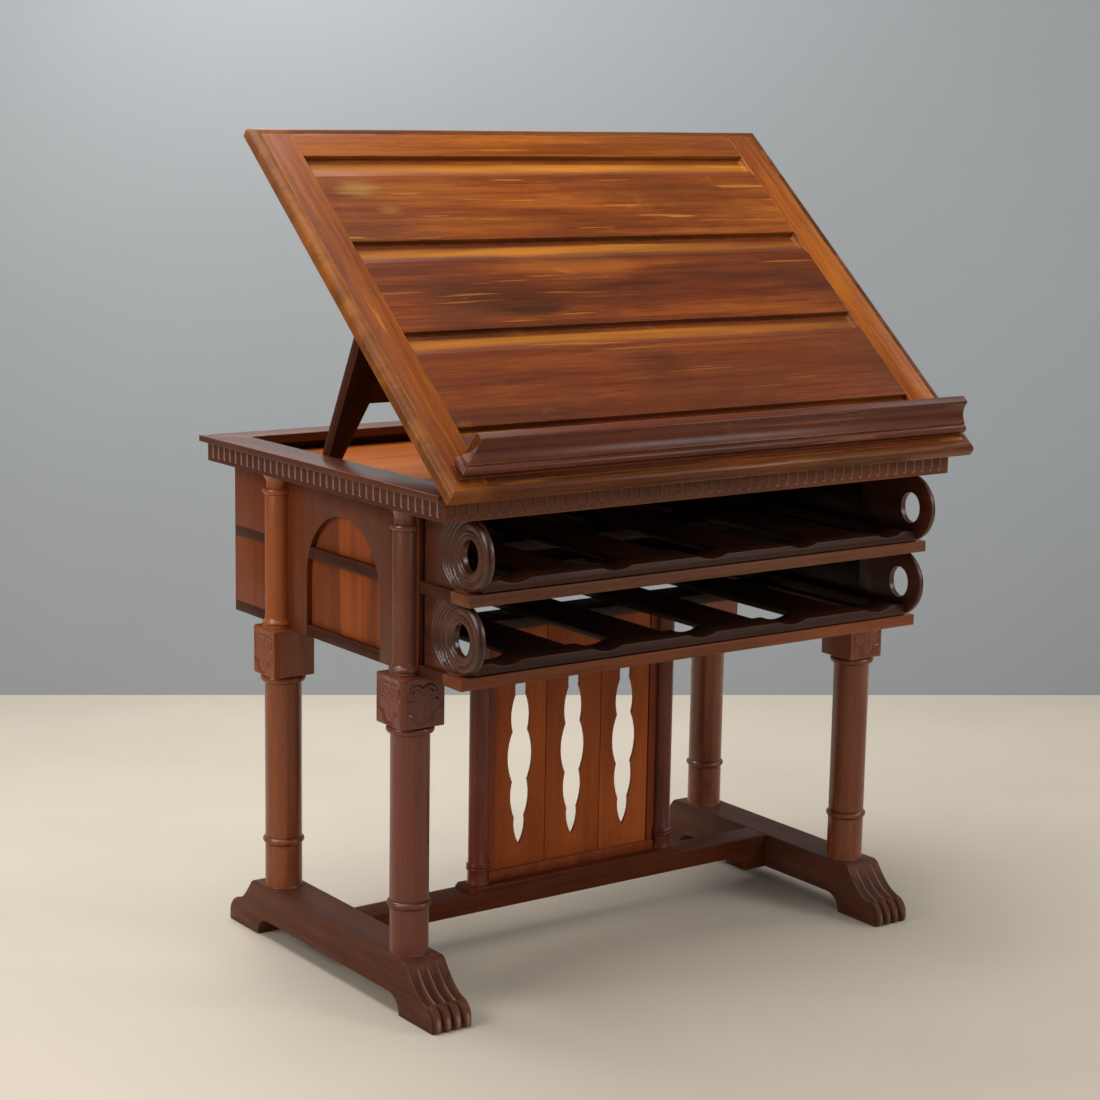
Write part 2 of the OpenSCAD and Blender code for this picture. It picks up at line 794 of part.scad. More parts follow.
// Reading desk, drawn flat with its hinge line on the X axis
module hinge_room() {
    for (x = hinge_x)
        translate([x - 1.5 * knuckle_len - 1, 0, 0]) rotate([0, 90, 0])
            cylinder(r = knuckle_r + 0.6, h = 3 * knuckle_len + 2);
}

module desk_stiles() {
    color("#a85a26") placed() on_desk() both_sides()
        block([field_x, desk_low + edge_w, desk_gap], [desk_x - edge_w, desk_high - edge_w, desk_top]);
}

module desk_top_rail() {
    color("#a85a26") placed() on_desk()
        block([-field_x, field_high, desk_gap], [field_x, desk_high - edge_w, desk_top]);
}

// A board whose upper edge falls in a cove to the foot of the next one
module coved_outline(low, high) {
    r = (pow(channel_w, 2) + pow(channel_depth, 2)) / (2 * channel_depth);
    difference() {
        translate([low, desk_gap]) square([high - low, desk_t]);
        intersection() {
            translate([high, desk_top - channel_depth + r]) circle(r = r, $fn = 180);
            translate([high - channel_w, desk_gap]) square([channel_w + 1, desk_t + 1]);
        }
    }
}

module desk_board(index) {
    high = field_high - index * channel_pitch;
    color("#b06028") placed() on_desk() along_x(-field_x, field_x)
        coved_outline(high - channel_pitch, high);
}

module desk_board_high() { desk_board(0); }

module desk_board_middle() { desk_board(1); }

module desk_board_low() { desk_board(2); }

module desk_bottom_rail() {
    color("#a85a26") placed() on_desk() difference() {
        along_x(-field_x, field_x)
            coved_outline(desk_low + edge_w, field_high - 3 * channel_pitch);
        hinge_room();
    }
}

// Rounded moulding: outline of one side, from the outer edge inwards
module edge_outline() {
    intersection() {
        translate([0, desk_gap]) square([edge_w, desk_t]);
        union() {
            translate([edge_round, desk_top - edge_round]) circle(r = edge_round);
            translate([edge_round, desk_gap]) square([edge_w, desk_t]);
            translate([0, desk_gap]) square([edge_w, desk_t - edge_round]);
        }
    }
}

// Section right across a board with both of its edges rounded on top
module slab_outline(low, high) {
    translate([low, 0]) edge_outline();
    translate([high, 0]) mirror([1, 0]) edge_outline();
    translate([low + edge_w - 1, desk_gap]) square([high - low - 2 * edge_w + 2, desk_t]);
}

module desk_edge_moulding() {
    color("#9a5428") placed() on_desk() difference() {
        intersection() {
            along_x(-desk_x - 1, desk_x + 1) slab_outline(desk_low, desk_high);
            along_y(desk_low - 1, desk_high + 1) slab_outline(-desk_x, desk_x);
        }
        block([edge_w - desk_x, desk_low + edge_w, 0], [desk_x - edge_w, desk_high - edge_w, desk_top + 1]);
        hinge_room();
    }
}

// Moulded ledge that the books stand on: section from its front foot inwards
module ledge_outline() {
    nose = ledge_h * 0.07;
    back = ledge_h * 0.1;
    nose_x = ledge_t * 0.65;
    cove_z = ledge_h * 0.896;
    top_x = nose_x + nose;
    difference() {
        union() {
            translate([ledge_t * 0.25, 0]) square([ledge_t * 0.75, ledge_h * 0.9]);
            translate([ledge_t * 0.06, 0]) square([ledge_t * 0.4, ledge_h * 0.1]);
            translate([ledge_t * 0.19, ledge_h * 0.25]) circle(r = ledge_h * 0.135);
            translate([ledge_t * 0.19, ledge_h * 0.14]) square([ledge_t * 0.1, ledge_h * 0.2]);
            translate([top_x, ledge_h - nose]) circle(r = nose);
            translate([ledge_t - back, ledge_h - back]) circle(r = back);
            translate([top_x, ledge_h * 0.8]) square([ledge_t - back - top_x, ledge_h * 0.2]);
        }
        intersection() {
            translate([nose_x - ledge_h * 0.49, cove_z]) circle(r = ledge_h * 0.49, $fn = 96);
            translate([ledge_t * 0.25, 0]) square([ledge_t, cove_z]);
        }
        translate([0, cove_z]) square([nose_x, ledge_h]);
    }
}

// The left end is returned as far back as the nose, the right end is cut square
module book_ledge() {
    right = desk_x - edge_w;
    left = 5 - right;
    behind = ledge_t * 0.67;
    color("#6e3420") placed() on_desk() translate([0, desk_low + ledge_inset, desk_top]) intersection() {
        along_x(left, right) ledge_outline();
        union() {
            along_y(-1, behind) {
                translate([left, 0]) ledge_outline();
                translate([left + behind, 0]) square([right - left - behind, ledge_h]);
            }
            block([left + behind, behind - 1, 0], [right, ledge_t + 1, ledge_h]);
        }
    }
}

module desk_battens() {
    color("#8a4a24") placed() on_desk() for (y = [0.32, 0.84])
        block([-field_x, y * desk_len - batten_w / 2, desk_gap - batten_t],
            [field_x, y * desk_len + batten_w / 2, desk_gap]);
}

// Strut hinges: pin strut_z under the desk, leaves on the desk and on the back of the strut
module strut_hinge_fixed_leaves() {
    color("#6b6258") placed() on_desk() for (x = strut_hinge_x)
        translate([x, strut_reach, strut_z]) {
            outer_knuckles();
            for (s = [-1, 1]) translate([s * knuckle_len, 0, 0]) {
                half = knuckle_len / 2;
                block([-half, -leaf_t / 2, 1], [half, leaf_t / 2, strut_drop]);
                block([-half, -leaf_t / 2, strut_drop - leaf_t], [half, leaf_len, strut_drop]);
            }
        }
}

strut_top = -(knuckle_r + 1.2);

module strut_hinge_moving_leaves() {
    color("#6b6258") placed() on_strut() for (x = strut_hinge_x)
        translate([x, 0, 0]) {
            middle_knuckle();
            half = knuckle_len / 2 - knuckle_gap;
            block([-half, 0, -leaf_len - 6], [half, leaf_t, -pin_r - 1]);
        }
}

module strut_legs() {
    shoulder = foot_r + strut_shoulder - strut_len;
    color("#5a2b1a") placed() on_strut() both_sides() intersection() {
        along_y(-strut_t, 0) polygon([
            [strut_x, strut_top], [strut_x, -strut_len - foot_r],
            [strut_x - strut_foot_w, -strut_len - foot_r],
            [strut_x - strut_leg_w, shoulder], [strut_x - strut_leg_w, strut_top]
        ]);
        along_x(strut_x - strut_leg_w, strut_x) union() {
            translate([-foot_r, -strut_len]) circle(r = foot_r);
            translate([-strut_t, -strut_len]) square([strut_t, strut_len]);
        }
    }
}

module strut_panel() {
    shoulder = foot_r + strut_shoulder - strut_len;
    color("#4f261a") placed() on_strut()
        block([-strut_x + strut_leg_w, -strut_t, shoulder], [strut_x - strut_leg_w, 0, strut_top]);
}

// Sliding slatted trays
module tray_front_rail(front, z0) {
    x = inner_x - tray_clear;
    dip_r = (pow(dip_w / 2, 2) + pow(dip_depth, 2)) / (2 * dip_depth);
    top = z0 + tray_rail_gap + tray_rail_h;
    color("#5f3122") placed() along_y(front, front + rail_w) difference() {
        translate([-x, z0 + tray_rail_gap]) square([2 * x, tray_rail_h]);
        for (i = [-2 : 2])
            translate([i * dip_pitch, top - dip_depth + dip_r]) circle(r = dip_r, $fn = 128);
    }
}

module tray_slats(front, z0) {
    top = z0 + tray_rail_gap + tray_rail_h;
    back = case_back - rail_w - 20;
    color("#3c2018") placed() for (i = [-1.5 : 1 : 1.5])
        block([i * dip_pitch - slat_w / 2, front + rail_w, top - slat_t],
            [i * dip_pitch + slat_w / 2, back, top]);
}

module tray_frame(front, z0) {
    x = inner_x - tray_clear;
    top = z0 + tray_rail_gap + tray_rail_h;
    back = case_back - rail_w - 20;
    color("#3c2018") placed() {
        block([-x, back, z0 + tray_clear], [x, back + 40, top]);
        both_sides() block([x - runner_w, front + rail_w, z0 + tray_clear], [x, back, top]);
    }
}

module tray_lower_front_rail() { tray_front_rail(front_lower, lower_z); }

module tray_lower_slats() { tray_slats(front_lower, lower_z); }

module tray_lower_frame() { tray_frame(front_lower, lower_z); }

module tray_upper_front_rail() { tray_front_rail(front_upper, upper_z); }

module tray_upper_slats() { tray_slats(front_upper, upper_z); }

module tray_upper_frame() { tray_frame(front_upper, upper_z); }

foot_left();
foot_right();
stretcher();
leg_front_left();
leg_front_right();
leg_back_left();
leg_back_right();
panel_plinth();
panel_posts();
panel_bottom_rail();
panel_stiles();
panel_plank_left();
panel_plank_middle();
panel_plank_right();
bottom_front_rail();
bottom_back_rail();
bottom_side_rails();
mid_front_rail();
mid_back_rail();
mid_side_rails();
cross_rails();
scroll_cheek_lower_left();
scroll_cheek_lower_right();
scroll_cheek_upper_left();
scroll_cheek_upper_right();
side_boards();
arch_board_left();
arch_board_right();
engaged_columns();
back_boards();
frieze_front();
frieze_back();
frieze_sides();
well_floor();
top_front_rail();
top_back_rail();
top_side_rails();
strut_racks();
desk_hinge_fixed_leaves();
desk_stiles();
desk_top_rail();
desk_bottom_rail();
desk_board_low();
desk_board_middle();
desk_board_high();
desk_edge_moulding();
book_ledge();
desk_battens();
desk_hinge_moving_leaves();
strut_hinge_fixed_leaves();
strut_legs();
strut_panel();
strut_hinge_moving_leaves();
tray_upper_front_rail();
tray_upper_slats();
tray_upper_frame();
tray_lower_front_rail();
tray_lower_slats();
tray_lower_frame();
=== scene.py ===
import json
from math import cos, pi, radians, sin

import bpy
import numpy as np
from mathutils import Matrix, Vector

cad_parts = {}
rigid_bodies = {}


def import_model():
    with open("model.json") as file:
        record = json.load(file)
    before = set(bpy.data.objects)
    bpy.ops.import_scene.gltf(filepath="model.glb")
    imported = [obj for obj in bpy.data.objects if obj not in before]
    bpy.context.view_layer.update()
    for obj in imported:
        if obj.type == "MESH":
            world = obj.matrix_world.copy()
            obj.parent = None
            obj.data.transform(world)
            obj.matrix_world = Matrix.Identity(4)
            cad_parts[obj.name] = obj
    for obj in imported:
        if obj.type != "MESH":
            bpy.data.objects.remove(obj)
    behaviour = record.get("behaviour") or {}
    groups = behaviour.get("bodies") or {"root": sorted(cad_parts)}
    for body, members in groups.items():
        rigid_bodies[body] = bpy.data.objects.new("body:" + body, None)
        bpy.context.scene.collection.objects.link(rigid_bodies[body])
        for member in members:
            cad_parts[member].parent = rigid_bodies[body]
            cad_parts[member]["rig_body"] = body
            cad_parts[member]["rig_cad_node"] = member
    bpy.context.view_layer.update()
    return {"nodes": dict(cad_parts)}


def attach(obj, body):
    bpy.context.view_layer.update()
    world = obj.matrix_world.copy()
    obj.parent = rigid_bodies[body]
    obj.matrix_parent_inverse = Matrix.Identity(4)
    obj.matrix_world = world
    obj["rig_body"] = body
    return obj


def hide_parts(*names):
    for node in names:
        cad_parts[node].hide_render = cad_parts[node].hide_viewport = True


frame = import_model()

bl_info = {
    "name": "Folio lectern",
    "version": (1, 0, 0),
    "blender": (4, 5, 0),
    "location": "3D View > Sidebar > Lectern",
    "description": "Shapes and finishes a folio lectern: carved, turned and moulded pieces in "
                   "worn reddish hardwood",
    "category": "Object",
}

NODES = frame["nodes"]
MM = 0.001

# Places that several pieces share, in millimetres
MIDDLE_Y = 18.6052
LEG_X, LEG_Y = 450.0, 195.0
FOOT_TOP = 90.0
BLOCK_BASE, BLOCK_HIGH = 451.0, 78.0
CASE_BASE = 529.0
CHEEK_IN, CHEEK_OUT = 432.0, 444.0
FIELD_X, FIELD_HIGH, BOARD_PITCH = 445.0, 686.5, 193.5

# The reading desk and the prop strut at rest
TILT = radians(40.3)
LEAN = radians(26.4)
PIN = Vector((0, -0.3553948, 0.8298))
ON_DESK = Matrix.Translation(PIN) @ Matrix.Rotation(TILT, 4, "X")


# Picking and placing
def nothing_picked():
    if bpy.context.mode != "OBJECT":
        bpy.ops.object.mode_set(mode="OBJECT")
    bpy.ops.object.select_all(action="DESELECT")


def pick(piece):
    nothing_picked()
    piece.select_set(True)
    bpy.context.view_layer.objects.active = piece


def open_mesh(piece):
    pick(piece)
    bpy.ops.object.mode_set(mode="EDIT")
    bpy.ops.mesh.select_all(action="SELECT")


def close_mesh():
    bpy.ops.object.mode_set(mode="OBJECT")


def points_of(piece):
    co = np.empty(len(piece.data.vertices) * 3)
    piece.data.vertices.foreach_get("co", co)
    return co.reshape(-1, 3)


def move_points(piece, co):
    piece.data.vertices.foreach_set("co", np.asarray(co, float).ravel())
    piece.data.update()


def mark(piece, name, values):
    attributes = piece.data.attributes
    layer = attributes.get(name) or attributes.new(name, "FLOAT", "POINT")
    layer.data.foreach_set("value", np.asarray(values, np.float32))


def settle(piece, name, node, key, smooth):
    """Names a finished piece, gives it its finish, and lets it ride in the place of its node."""
    pick(piece)
    bpy.ops.object.transform_apply(location=True, rotation=True, scale=True)
    bpy.ops.object.shade_smooth_by_angle(angle=radians(smooth))
    piece.name = name
    piece.data.name = name
    piece.data.materials.clear()
    piece.data.materials.append(finish_of(key))
    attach(piece, NODES[node]["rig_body"])
    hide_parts(node)


def softened(node, width=1.0, segments=2):
    """A copy of a plain solid, merged, with its edges eased."""
    nothing_picked()
    piece = NODES[node].copy()
    piece.data = NODES[node].data.copy()
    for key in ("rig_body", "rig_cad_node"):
        if key in piece:
            del piece[key]
    piece.parent = None
    piece.matrix_world = Matrix.Identity(4)
    bpy.context.scene.collection.objects.link(piece)
    open_mesh(piece)
    bpy.ops.mesh.remove_doubles(threshold=0.00001)
    bpy.ops.mesh.dissolve_limited(angle_limit=radians(0.6))
    close_mesh()
    if width:
        ease = piece.modifiers.new("Eased edges", "BEVEL")
        ease.width = width * MM
        ease.segments = segments
        ease.limit_method = "ANGLE"
        ease.angle_limit = radians(30)
        ease.use_clamp_overlap = True
        bpy.ops.object.modifier_apply(modifier=ease.name)
    return piece


def bent_grid(us, vs, place, capped=False):
    """A grid primitive with columns us and rows vs, laid out by place(u, v, i, j).

    That gives each point's place in millimetres, and a value for the hollow attribute: above 0 it
    is painted shade in hollows and grooves; below 0 it is a painted highlight, and on the toe tips
    pale wear.
    """
    nothing_picked()
    bpy.ops.mesh.primitive_grid_add(
        x_subdivisions=len(us) - 1, y_subdivisions=len(vs) - 1, size=2)
    piece = bpy.context.object
    co = points_of(piece)
    if len(co) != len(us) * len(vs):
        raise RuntimeError("the grid has other rows than it was asked for")
    i = np.rint((co[:, 0] + 1) / 2 * (len(us) - 1)).astype(int)
    j = np.rint((co[:, 1] + 1) / 2 * (len(vs) - 1)).astype(int)
    placed, hollow = place(np.asarray(us, float)[i], np.asarray(vs, float)[j], i, j)
    move_points(piece, np.stack(placed, 1) * MM)
    mark(piece, "hollow", hollow)
    open_mesh(piece)
    bpy.ops.mesh.remove_doubles(threshold=0.00003)
    if capped:
        bpy.ops.mesh.fill_holes(sides=0)
        bpy.ops.mesh.select_all(action="SELECT")
    bpy.ops.mesh.normals_make_consistent(inside=False)
    close_mesh()
    return piece


def turned(profile, centre, steps=64):
    """A profile of (radius, height) points, in millimetres, spun about an upright axis."""
    nothing_picked()
    x, y, z = centre
    bpy.ops.mesh.primitive_plane_add(size=0.01, location=(x * MM, y * MM, z * MM))
    piece = bpy.context.object
    open_mesh(piece)
    bpy.ops.mesh.merge(type="CENTER")
    bpy.ops.transform.translate(value=(profile[0][0] * MM, 0, profile[0][1] * MM))
    for a, b in zip(profile, profile[1:]):
        bpy.ops.mesh.extrude_vertices_move(
            TRANSFORM_OT_translate={"value": ((b[0] - a[0]) * MM, 0, (b[1] - a[1]) * MM)})
    bpy.ops.mesh.select_all(action="SELECT")
    bpy.ops.mesh.spin(
        steps=steps, angle=2 * pi, center=(x * MM, y * MM, z * MM), axis=(0, 0, 1))
    bpy.ops.mesh.select_all(action="SELECT")
    bpy.ops.mesh.remove_doubles(threshold=0.00002)
    bpy.ops.mesh.normals_make_consistent(inside=False)
    close_mesh()
    pick(piece)
    bpy.ops.object.transform_apply(location=True, rotation=True, scale=True)
    return piece


def joined(pieces):
    nothing_picked()
    for piece in pieces:
        piece.select_set(True)
    bpy.context.view_layer.objects.active = pieces[0]
    bpy.ops.object.join()
    return bpy.context.view_layer.objects.active


def arc(cx, cz, rx, rz, start, end, count):
    """Points of an arc, from start to end in degrees."""
    return [(cx + rx * cos(radians(a)), cz + rz * sin(radians(a)))
            for a in np.linspace(start, end, count)]


def rise(x, low, high):
    """Goes smoothly from 0 at low to 1 at high."""
    t = np.clip((x - low) / (high - low), 0, 1)
    return t * t * (3 - 2 * t)


# Finishes
def tone(code):
    """A colour written as six hexadecimal digits, as the shaders want it."""
    parts = [int(code[k:k + 2], 16) / 255 for k in (0, 2, 4)]
    linear = [c / 12.92 if c <= 0.04045 else ((c + 0.055) / 1.055) ** 2.4 for c in parts]
    return (*linear, 1.0)


def warm(code):
    """The same, with the red cast of the old varnish."""
    r, g, b, alpha = tone(code)
    return r, g * 0.88, b * 0.6, alpha


class Finish:
    """Builds one material from nodes."""

    def __init__(self, name):
        self.material = bpy.data.materials.new(name)
        self.material.use_nodes = True
        self.tree = self.material.node_tree
        self.tree.nodes.clear()

    def put(self, kind, settings=None, **inputs):
        """Adds a node; an input is named, or numbered as in _0."""
        node = self.tree.nodes.new(kind)
        for key, value in (settings or {}).items():
            setattr(node, key, value)
        for key, value in inputs.items():
            socket = node.inputs[int(key[1:]) if key[0] == "_" else key.replace("_", " ")]
            if isinstance(value, bpy.types.NodeSocket):
                self.tree.links.new(value, socket)
            else:
                socket.default_value = value
        return node

    def calc(self, operation, a, b=0.0):
        return self.put("ShaderNodeMath", {"operation": operation}, _0=a, _1=b).outputs[0]

    def times(self, product, *others):
        for other in others:
            product = self.calc("MULTIPLY", product, other)
        return product

    def weighed(self, *pairs):
        """The sum of values that are each given with their weight."""
        total, *others = [self.calc("MULTIPLY", value, weight) for value, weight in pairs]
        for other in others:
            total = self.calc("ADD", total, other)
        return total

    def away_from(self, value, place):
        """How far a coordinate lies from a place given in millimetres."""
        return self.calc("ABSOLUTE", self.calc("SUBTRACT", value, place * MM))

    def mapped(self, where, **inputs):
        return self.put("ShaderNodeMapping", Vector=where, **inputs).outputs[0]

    def mix(self, factor, a, b, mode="MIX"):
        return self.put("ShaderNodeMix", {"data_type": "RGBA", "blend_type": mode},
                        _0=factor, _6=a, _7=b).outputs[2]

    def spread(self, value, low, high, to_low=0.0, to_high=1.0):
        return self.put("ShaderNodeMapRange", {"interpolation_type": "SMOOTHSTEP"},
                        _0=value, _1=low, _2=high, _3=to_low, _4=to_high).outputs[0]

    def noise(self, where, scale, detail=3.0, roughness=0.5, distortion=0.0):
        return self.put("ShaderNodeTexNoise", Vector=where, Scale=scale, Detail=detail,
                        Roughness=roughness, Distortion=distortion).outputs[0]

    def finish(self, shader):
        self.put("ShaderNodeOutputMaterial", Surface=shader.outputs[0])
        return self.material


GRAIN = {"x": (0, 0, 0), "y": (0, 0, -pi / 2), "z": (0, pi / 2, 0), "slope": (-TILT, 0, -pi / 2),
         "board": (-TILT, 0, 0), "strut": (-LEAN, pi / 2, 0)}
# Painted shade: on the inside faces of the case, and in the narrow gap behind the cheeks
INSIDE_SHADE_TONE, GAP_SHADE_TONE = "1e110c", "140a07"


def stained(f, colour, where, ragged, streak, stains):
    """Lays ragged stains on the desk's face."""
    from_pin = f.put("ShaderNodeVectorMath", {"operation": "SUBTRACT"}, _0=where, _1=tuple(PIN))
    on_face = f.mapped(from_pin.outputs[0], Rotation=(-TILT, 0, 0))
    for x, up, wide, high, code, strength in stains:
        near = f.mapped(on_face, Scale=(1 / (wide * MM), 1 / (high * MM), 0),
                        Location=(-x / wide, -up / high, 0))
        away = f.put("ShaderNodeVectorMath", {"operation": "LENGTH"}, _0=near).outputs["Value"]
        away = f.calc("ADD", away, f.times(f.calc("SUBTRACT", ragged, 0.5), 2.5))
        streaky = f.spread(streak, 0.38, 0.6, strength * 0.5, strength)
        colour = f.mix(f.times(f.spread(away, 1.25, 0.2), streaky), colour, warm(code))
    return colour


def wood(name, dark, plain, light, grain, seed, rough, coat, worn_and_highlight, edge_wear_and_highlight, reach, clouds,
         cloud_tone=None, marks=0.0, painted_light_and_wear=0.0, bump=0.2, figured=0.55, gloss=0.3, stains=(),
         gap_shade_y=None, faded=None, inner=None):
    """Grained hardwood: figure, streaks, fibre, pores and clouds, with its wear and stains, and
    painted shade and highlights.
    """
    f = Finish(name)
    where = f.put("ShaderNodeTexCoord").outputs["Object"]
    laid = f.mapped(where, Rotation=GRAIN[grain], Location=(seed * 1.7, seed * 0.9, seed * 1.3))

    def drawn_out(along, across, *shape):
        return f.noise(f.mapped(laid, Scale=(along, across, across)), 1.0, *shape)

    figure = drawn_out(1.1, 14, 4, 0.5, 0.9)
    streak = drawn_out(3.0, 95, 3, 0.6, 0.3)
    fibre = drawn_out(14, 420, 2, 0.6)
    pore = drawn_out(45, 1500, 1, 0.5)
    cloud = drawn_out(2.2, 4.5, 4, 0.6, 0.4)
    body = f.weighed((figure, 0.46), (streak, 0.32), (fibre, 0.22))
    ramp = f.put("ShaderNodeValToRGB", Fac=body)
    stops = ramp.color_ramp.elements
    stops[0].position, stops[0].color = 0.37, warm(dark)
    stops[1].position, stops[1].color = 0.63, warm(light)
    stops.new(0.5).color = warm(plain)
    colour = f.mix(figured, warm(plain), ramp.outputs[0])
    veil = f.times(f.spread(cloud, 0.44, 0.7), clouds)
    colour = f.mix(veil, colour, warm(cloud_tone or dark))
    dashes = f.times(f.spread(pore, 0.6, 0.7), 0.4)
    colour = f.mix(dashes, colour, warm(dark), "MULTIPLY")
    if stains:
        colour = stained(f, colour, where, drawn_out(4, 26, 5, 0.65), streak, stains)
    if marks:
        bed = f.mapped(laid, Rotation=(0.3, 0.2, 0.5), Scale=(4, 120, 120))
        scratch = f.times(f.spread(f.noise(bed, 1.0, 1, 0.4), 0.69, 0.73), marks * 0.8)
        rub = f.times(f.spread(drawn_out(7, 13, 5, 0.7), 0.6, 0.76), marks * 0.6)
        colour = f.mix(f.calc("MAXIMUM", scratch, rub), colour, warm(worn_and_highlight))
    # Eased edges turned pale: partly wear, partly a painted highlight along the edges
    if edge_wear_and_highlight:
        eased = f.put("ShaderNodeBevel", {"samples": 4}, Radius=reach * MM).outputs[0]
        flat = f.put("ShaderNodeNewGeometry").outputs["Normal"]
        turn = f.put("ShaderNodeVectorMath", {"operation": "DOT_PRODUCT"}, _0=eased, _1=flat)
        edge = f.spread(turn.outputs["Value"], 0.995, 0.86)
        patchy = f.spread(f.noise(laid, 34.0, 3, 0.6), 0.3, 0.62)
        colour = f.mix(f.times(edge, patchy, edge_wear_and_highlight), colour, warm(worn_and_highlight))
    # Painted shade where the hollow attribute is above 0, in carved hollows and grooves; below 0 a
    # painted highlight, and pale wear on the toe tips
    if painted_light_and_wear:
        depth = f.put("ShaderNodeAttribute", {"attribute_name": "hollow"}).outputs["Fac"]
        sunk = f.times(f.spread(depth, 0.05, 0.95), painted_light_and_wear)
        colour = f.mix(sunk, colour, warm(dark), "MULTIPLY")
        highlight_and_wear = f.spread(figure, 0.36, 0.6, painted_light_and_wear * 0.35, painted_light_and_wear)
        colour = f.mix(f.times(f.spread(depth, -0.05, -0.95), highlight_and_wear), colour, warm(worn_and_highlight))
    split = f.put("ShaderNodeSeparateXYZ", Vector=where).outputs
    # A paler zone: a paler tone on the side board, painted light on the lit back columns, and a
    # painted highlight on the left end of the edge moulding
    if faded:
        axis, middle, half, code, least, most = faded
        near = f.spread(f.away_from(split[axis], middle), (half + 12) * MM, (half - 30) * MM)
        pale = f.spread(figure, 0.4, 0.62, least, most)
        colour = f.mix(f.times(near, pale), colour, warm(code))
    # Painted shade on the faces nearer the middle than inner, the inside faces
    if inner:
        deep = f.spread(f.calc("ABSOLUTE", split["X"]), (inner + 1) * MM, inner * MM)
        colour = f.mix(deep, colour, warm(INSIDE_SHADE_TONE))
    # Painted shadow on the strip that shows in the narrow gap behind the cheek
    if gap_shade_y:
        gap = f.spread(f.away_from(split["Y"], gap_shade_y), 3.5 * MM, 2 * MM)
        colour = f.mix(gap, colour, warm(GAP_SHADE_TONE))
    height = f.weighed((fibre, 0.6), (pore, 0.5), (streak, 0.5))
    relief = f.put("ShaderNodeBump", Strength=bump, Distance=0.0005, Height=height).outputs[0]
    shine = f.spread(cloud, 0.3, 0.7, rough - 0.05, rough + 0.09)
    shader = f.put("ShaderNodeBsdfPrincipled", Base_Color=colour, Roughness=shine, Normal=relief,
                   Coat_Weight=coat, Coat_Roughness=0.25, IOR=1.5, Specular_IOR_Level=gloss)
    return f.finish(shader)


def aged_metal(name):
    f = Finish(name)
    where = f.put("ShaderNodeTexCoord").outputs["Object"]
    patch = f.noise(where, 90.0, 4, 0.6)
    colour = f.mix(f.spread(patch, 0.35, 0.65), tone("3a332b"), tone("8a7a63"))
    relief = f.put("ShaderNodeBump", Strength=0.2, Distance=0.0004, Height=patch).outputs[0]
    shader = f.put("ShaderNodeBsdfPrincipled", Base_Color=colour, Metallic=1.0, Normal=relief,
                   Roughness=f.spread(patch, 0.3, 0.7, 0.38, 0.6))
    return f.finish(shader)


def matt(name, plain, shade, scale, rough):
    """Floor and wall: a plain colour with a faint uneven tone."""
    f = Finish(name)
    where = f.put("ShaderNodeTexCoord").outputs["Object"]
    patch = f.spread(f.noise(where, scale, 4, 0.6), 0.3, 0.7)
    colour = f.mix(patch, tuple(plain) + (1.0,), tuple(c * shade for c in plain) + (1.0,))
    shader = f.put("ShaderNodeBsdfPrincipled", Base_Color=colour, Roughness=rough,
                   Specular_IOR_Level=0.2)
    return f.finish(shader)


# Each stain: where it lies across the desk and up its slope, its two reaches, tone and strength
DESK_STAINS = (
    (-50, 412, 120, 42, "a4622c", 0.35), (-300, 600, 120, 40, "a86828", 0.45),
    (-238, 348, 135, 34, "2a180c", 0.7), (-305, 374, 110, 30, "3a200e", 0.5),
    (-190, 338, 80, 20, "24140a", 0.5), (-300, 284, 115, 22, "281a10", 0.75),
    (-120, 290, 60, 10, "3a2414", 0.5), (-60, 440, 150, 40, "a8642c", 0.2),
    (380, 430, 120, 60, "48240f", 0.6), (-385, 614, 40, 24, "a08c5c", 0.45),
    (-345, 560, 26, 12, "a08454", 0.35), (250, 600, 150, 36, "562a12", 0.4),
    (60, 120, 260, 40, "502610", 0.5), (-380, 100, 110, 60, "4c2c18", 0.5),
    (300, 200, 200, 46, "5c2c12", 0.45), (-60, 530, 240, 24, "643414", 0.4))

# What the planks and what the boards of the desk have in common
PLANK = dict(cloud_tone="6a2c14", figured=0.5, gloss=0.2)
BOARD = dict(painted_light_and_wear=0.8, bump=0.35, gloss=0.15, stains=DESK_STAINS)
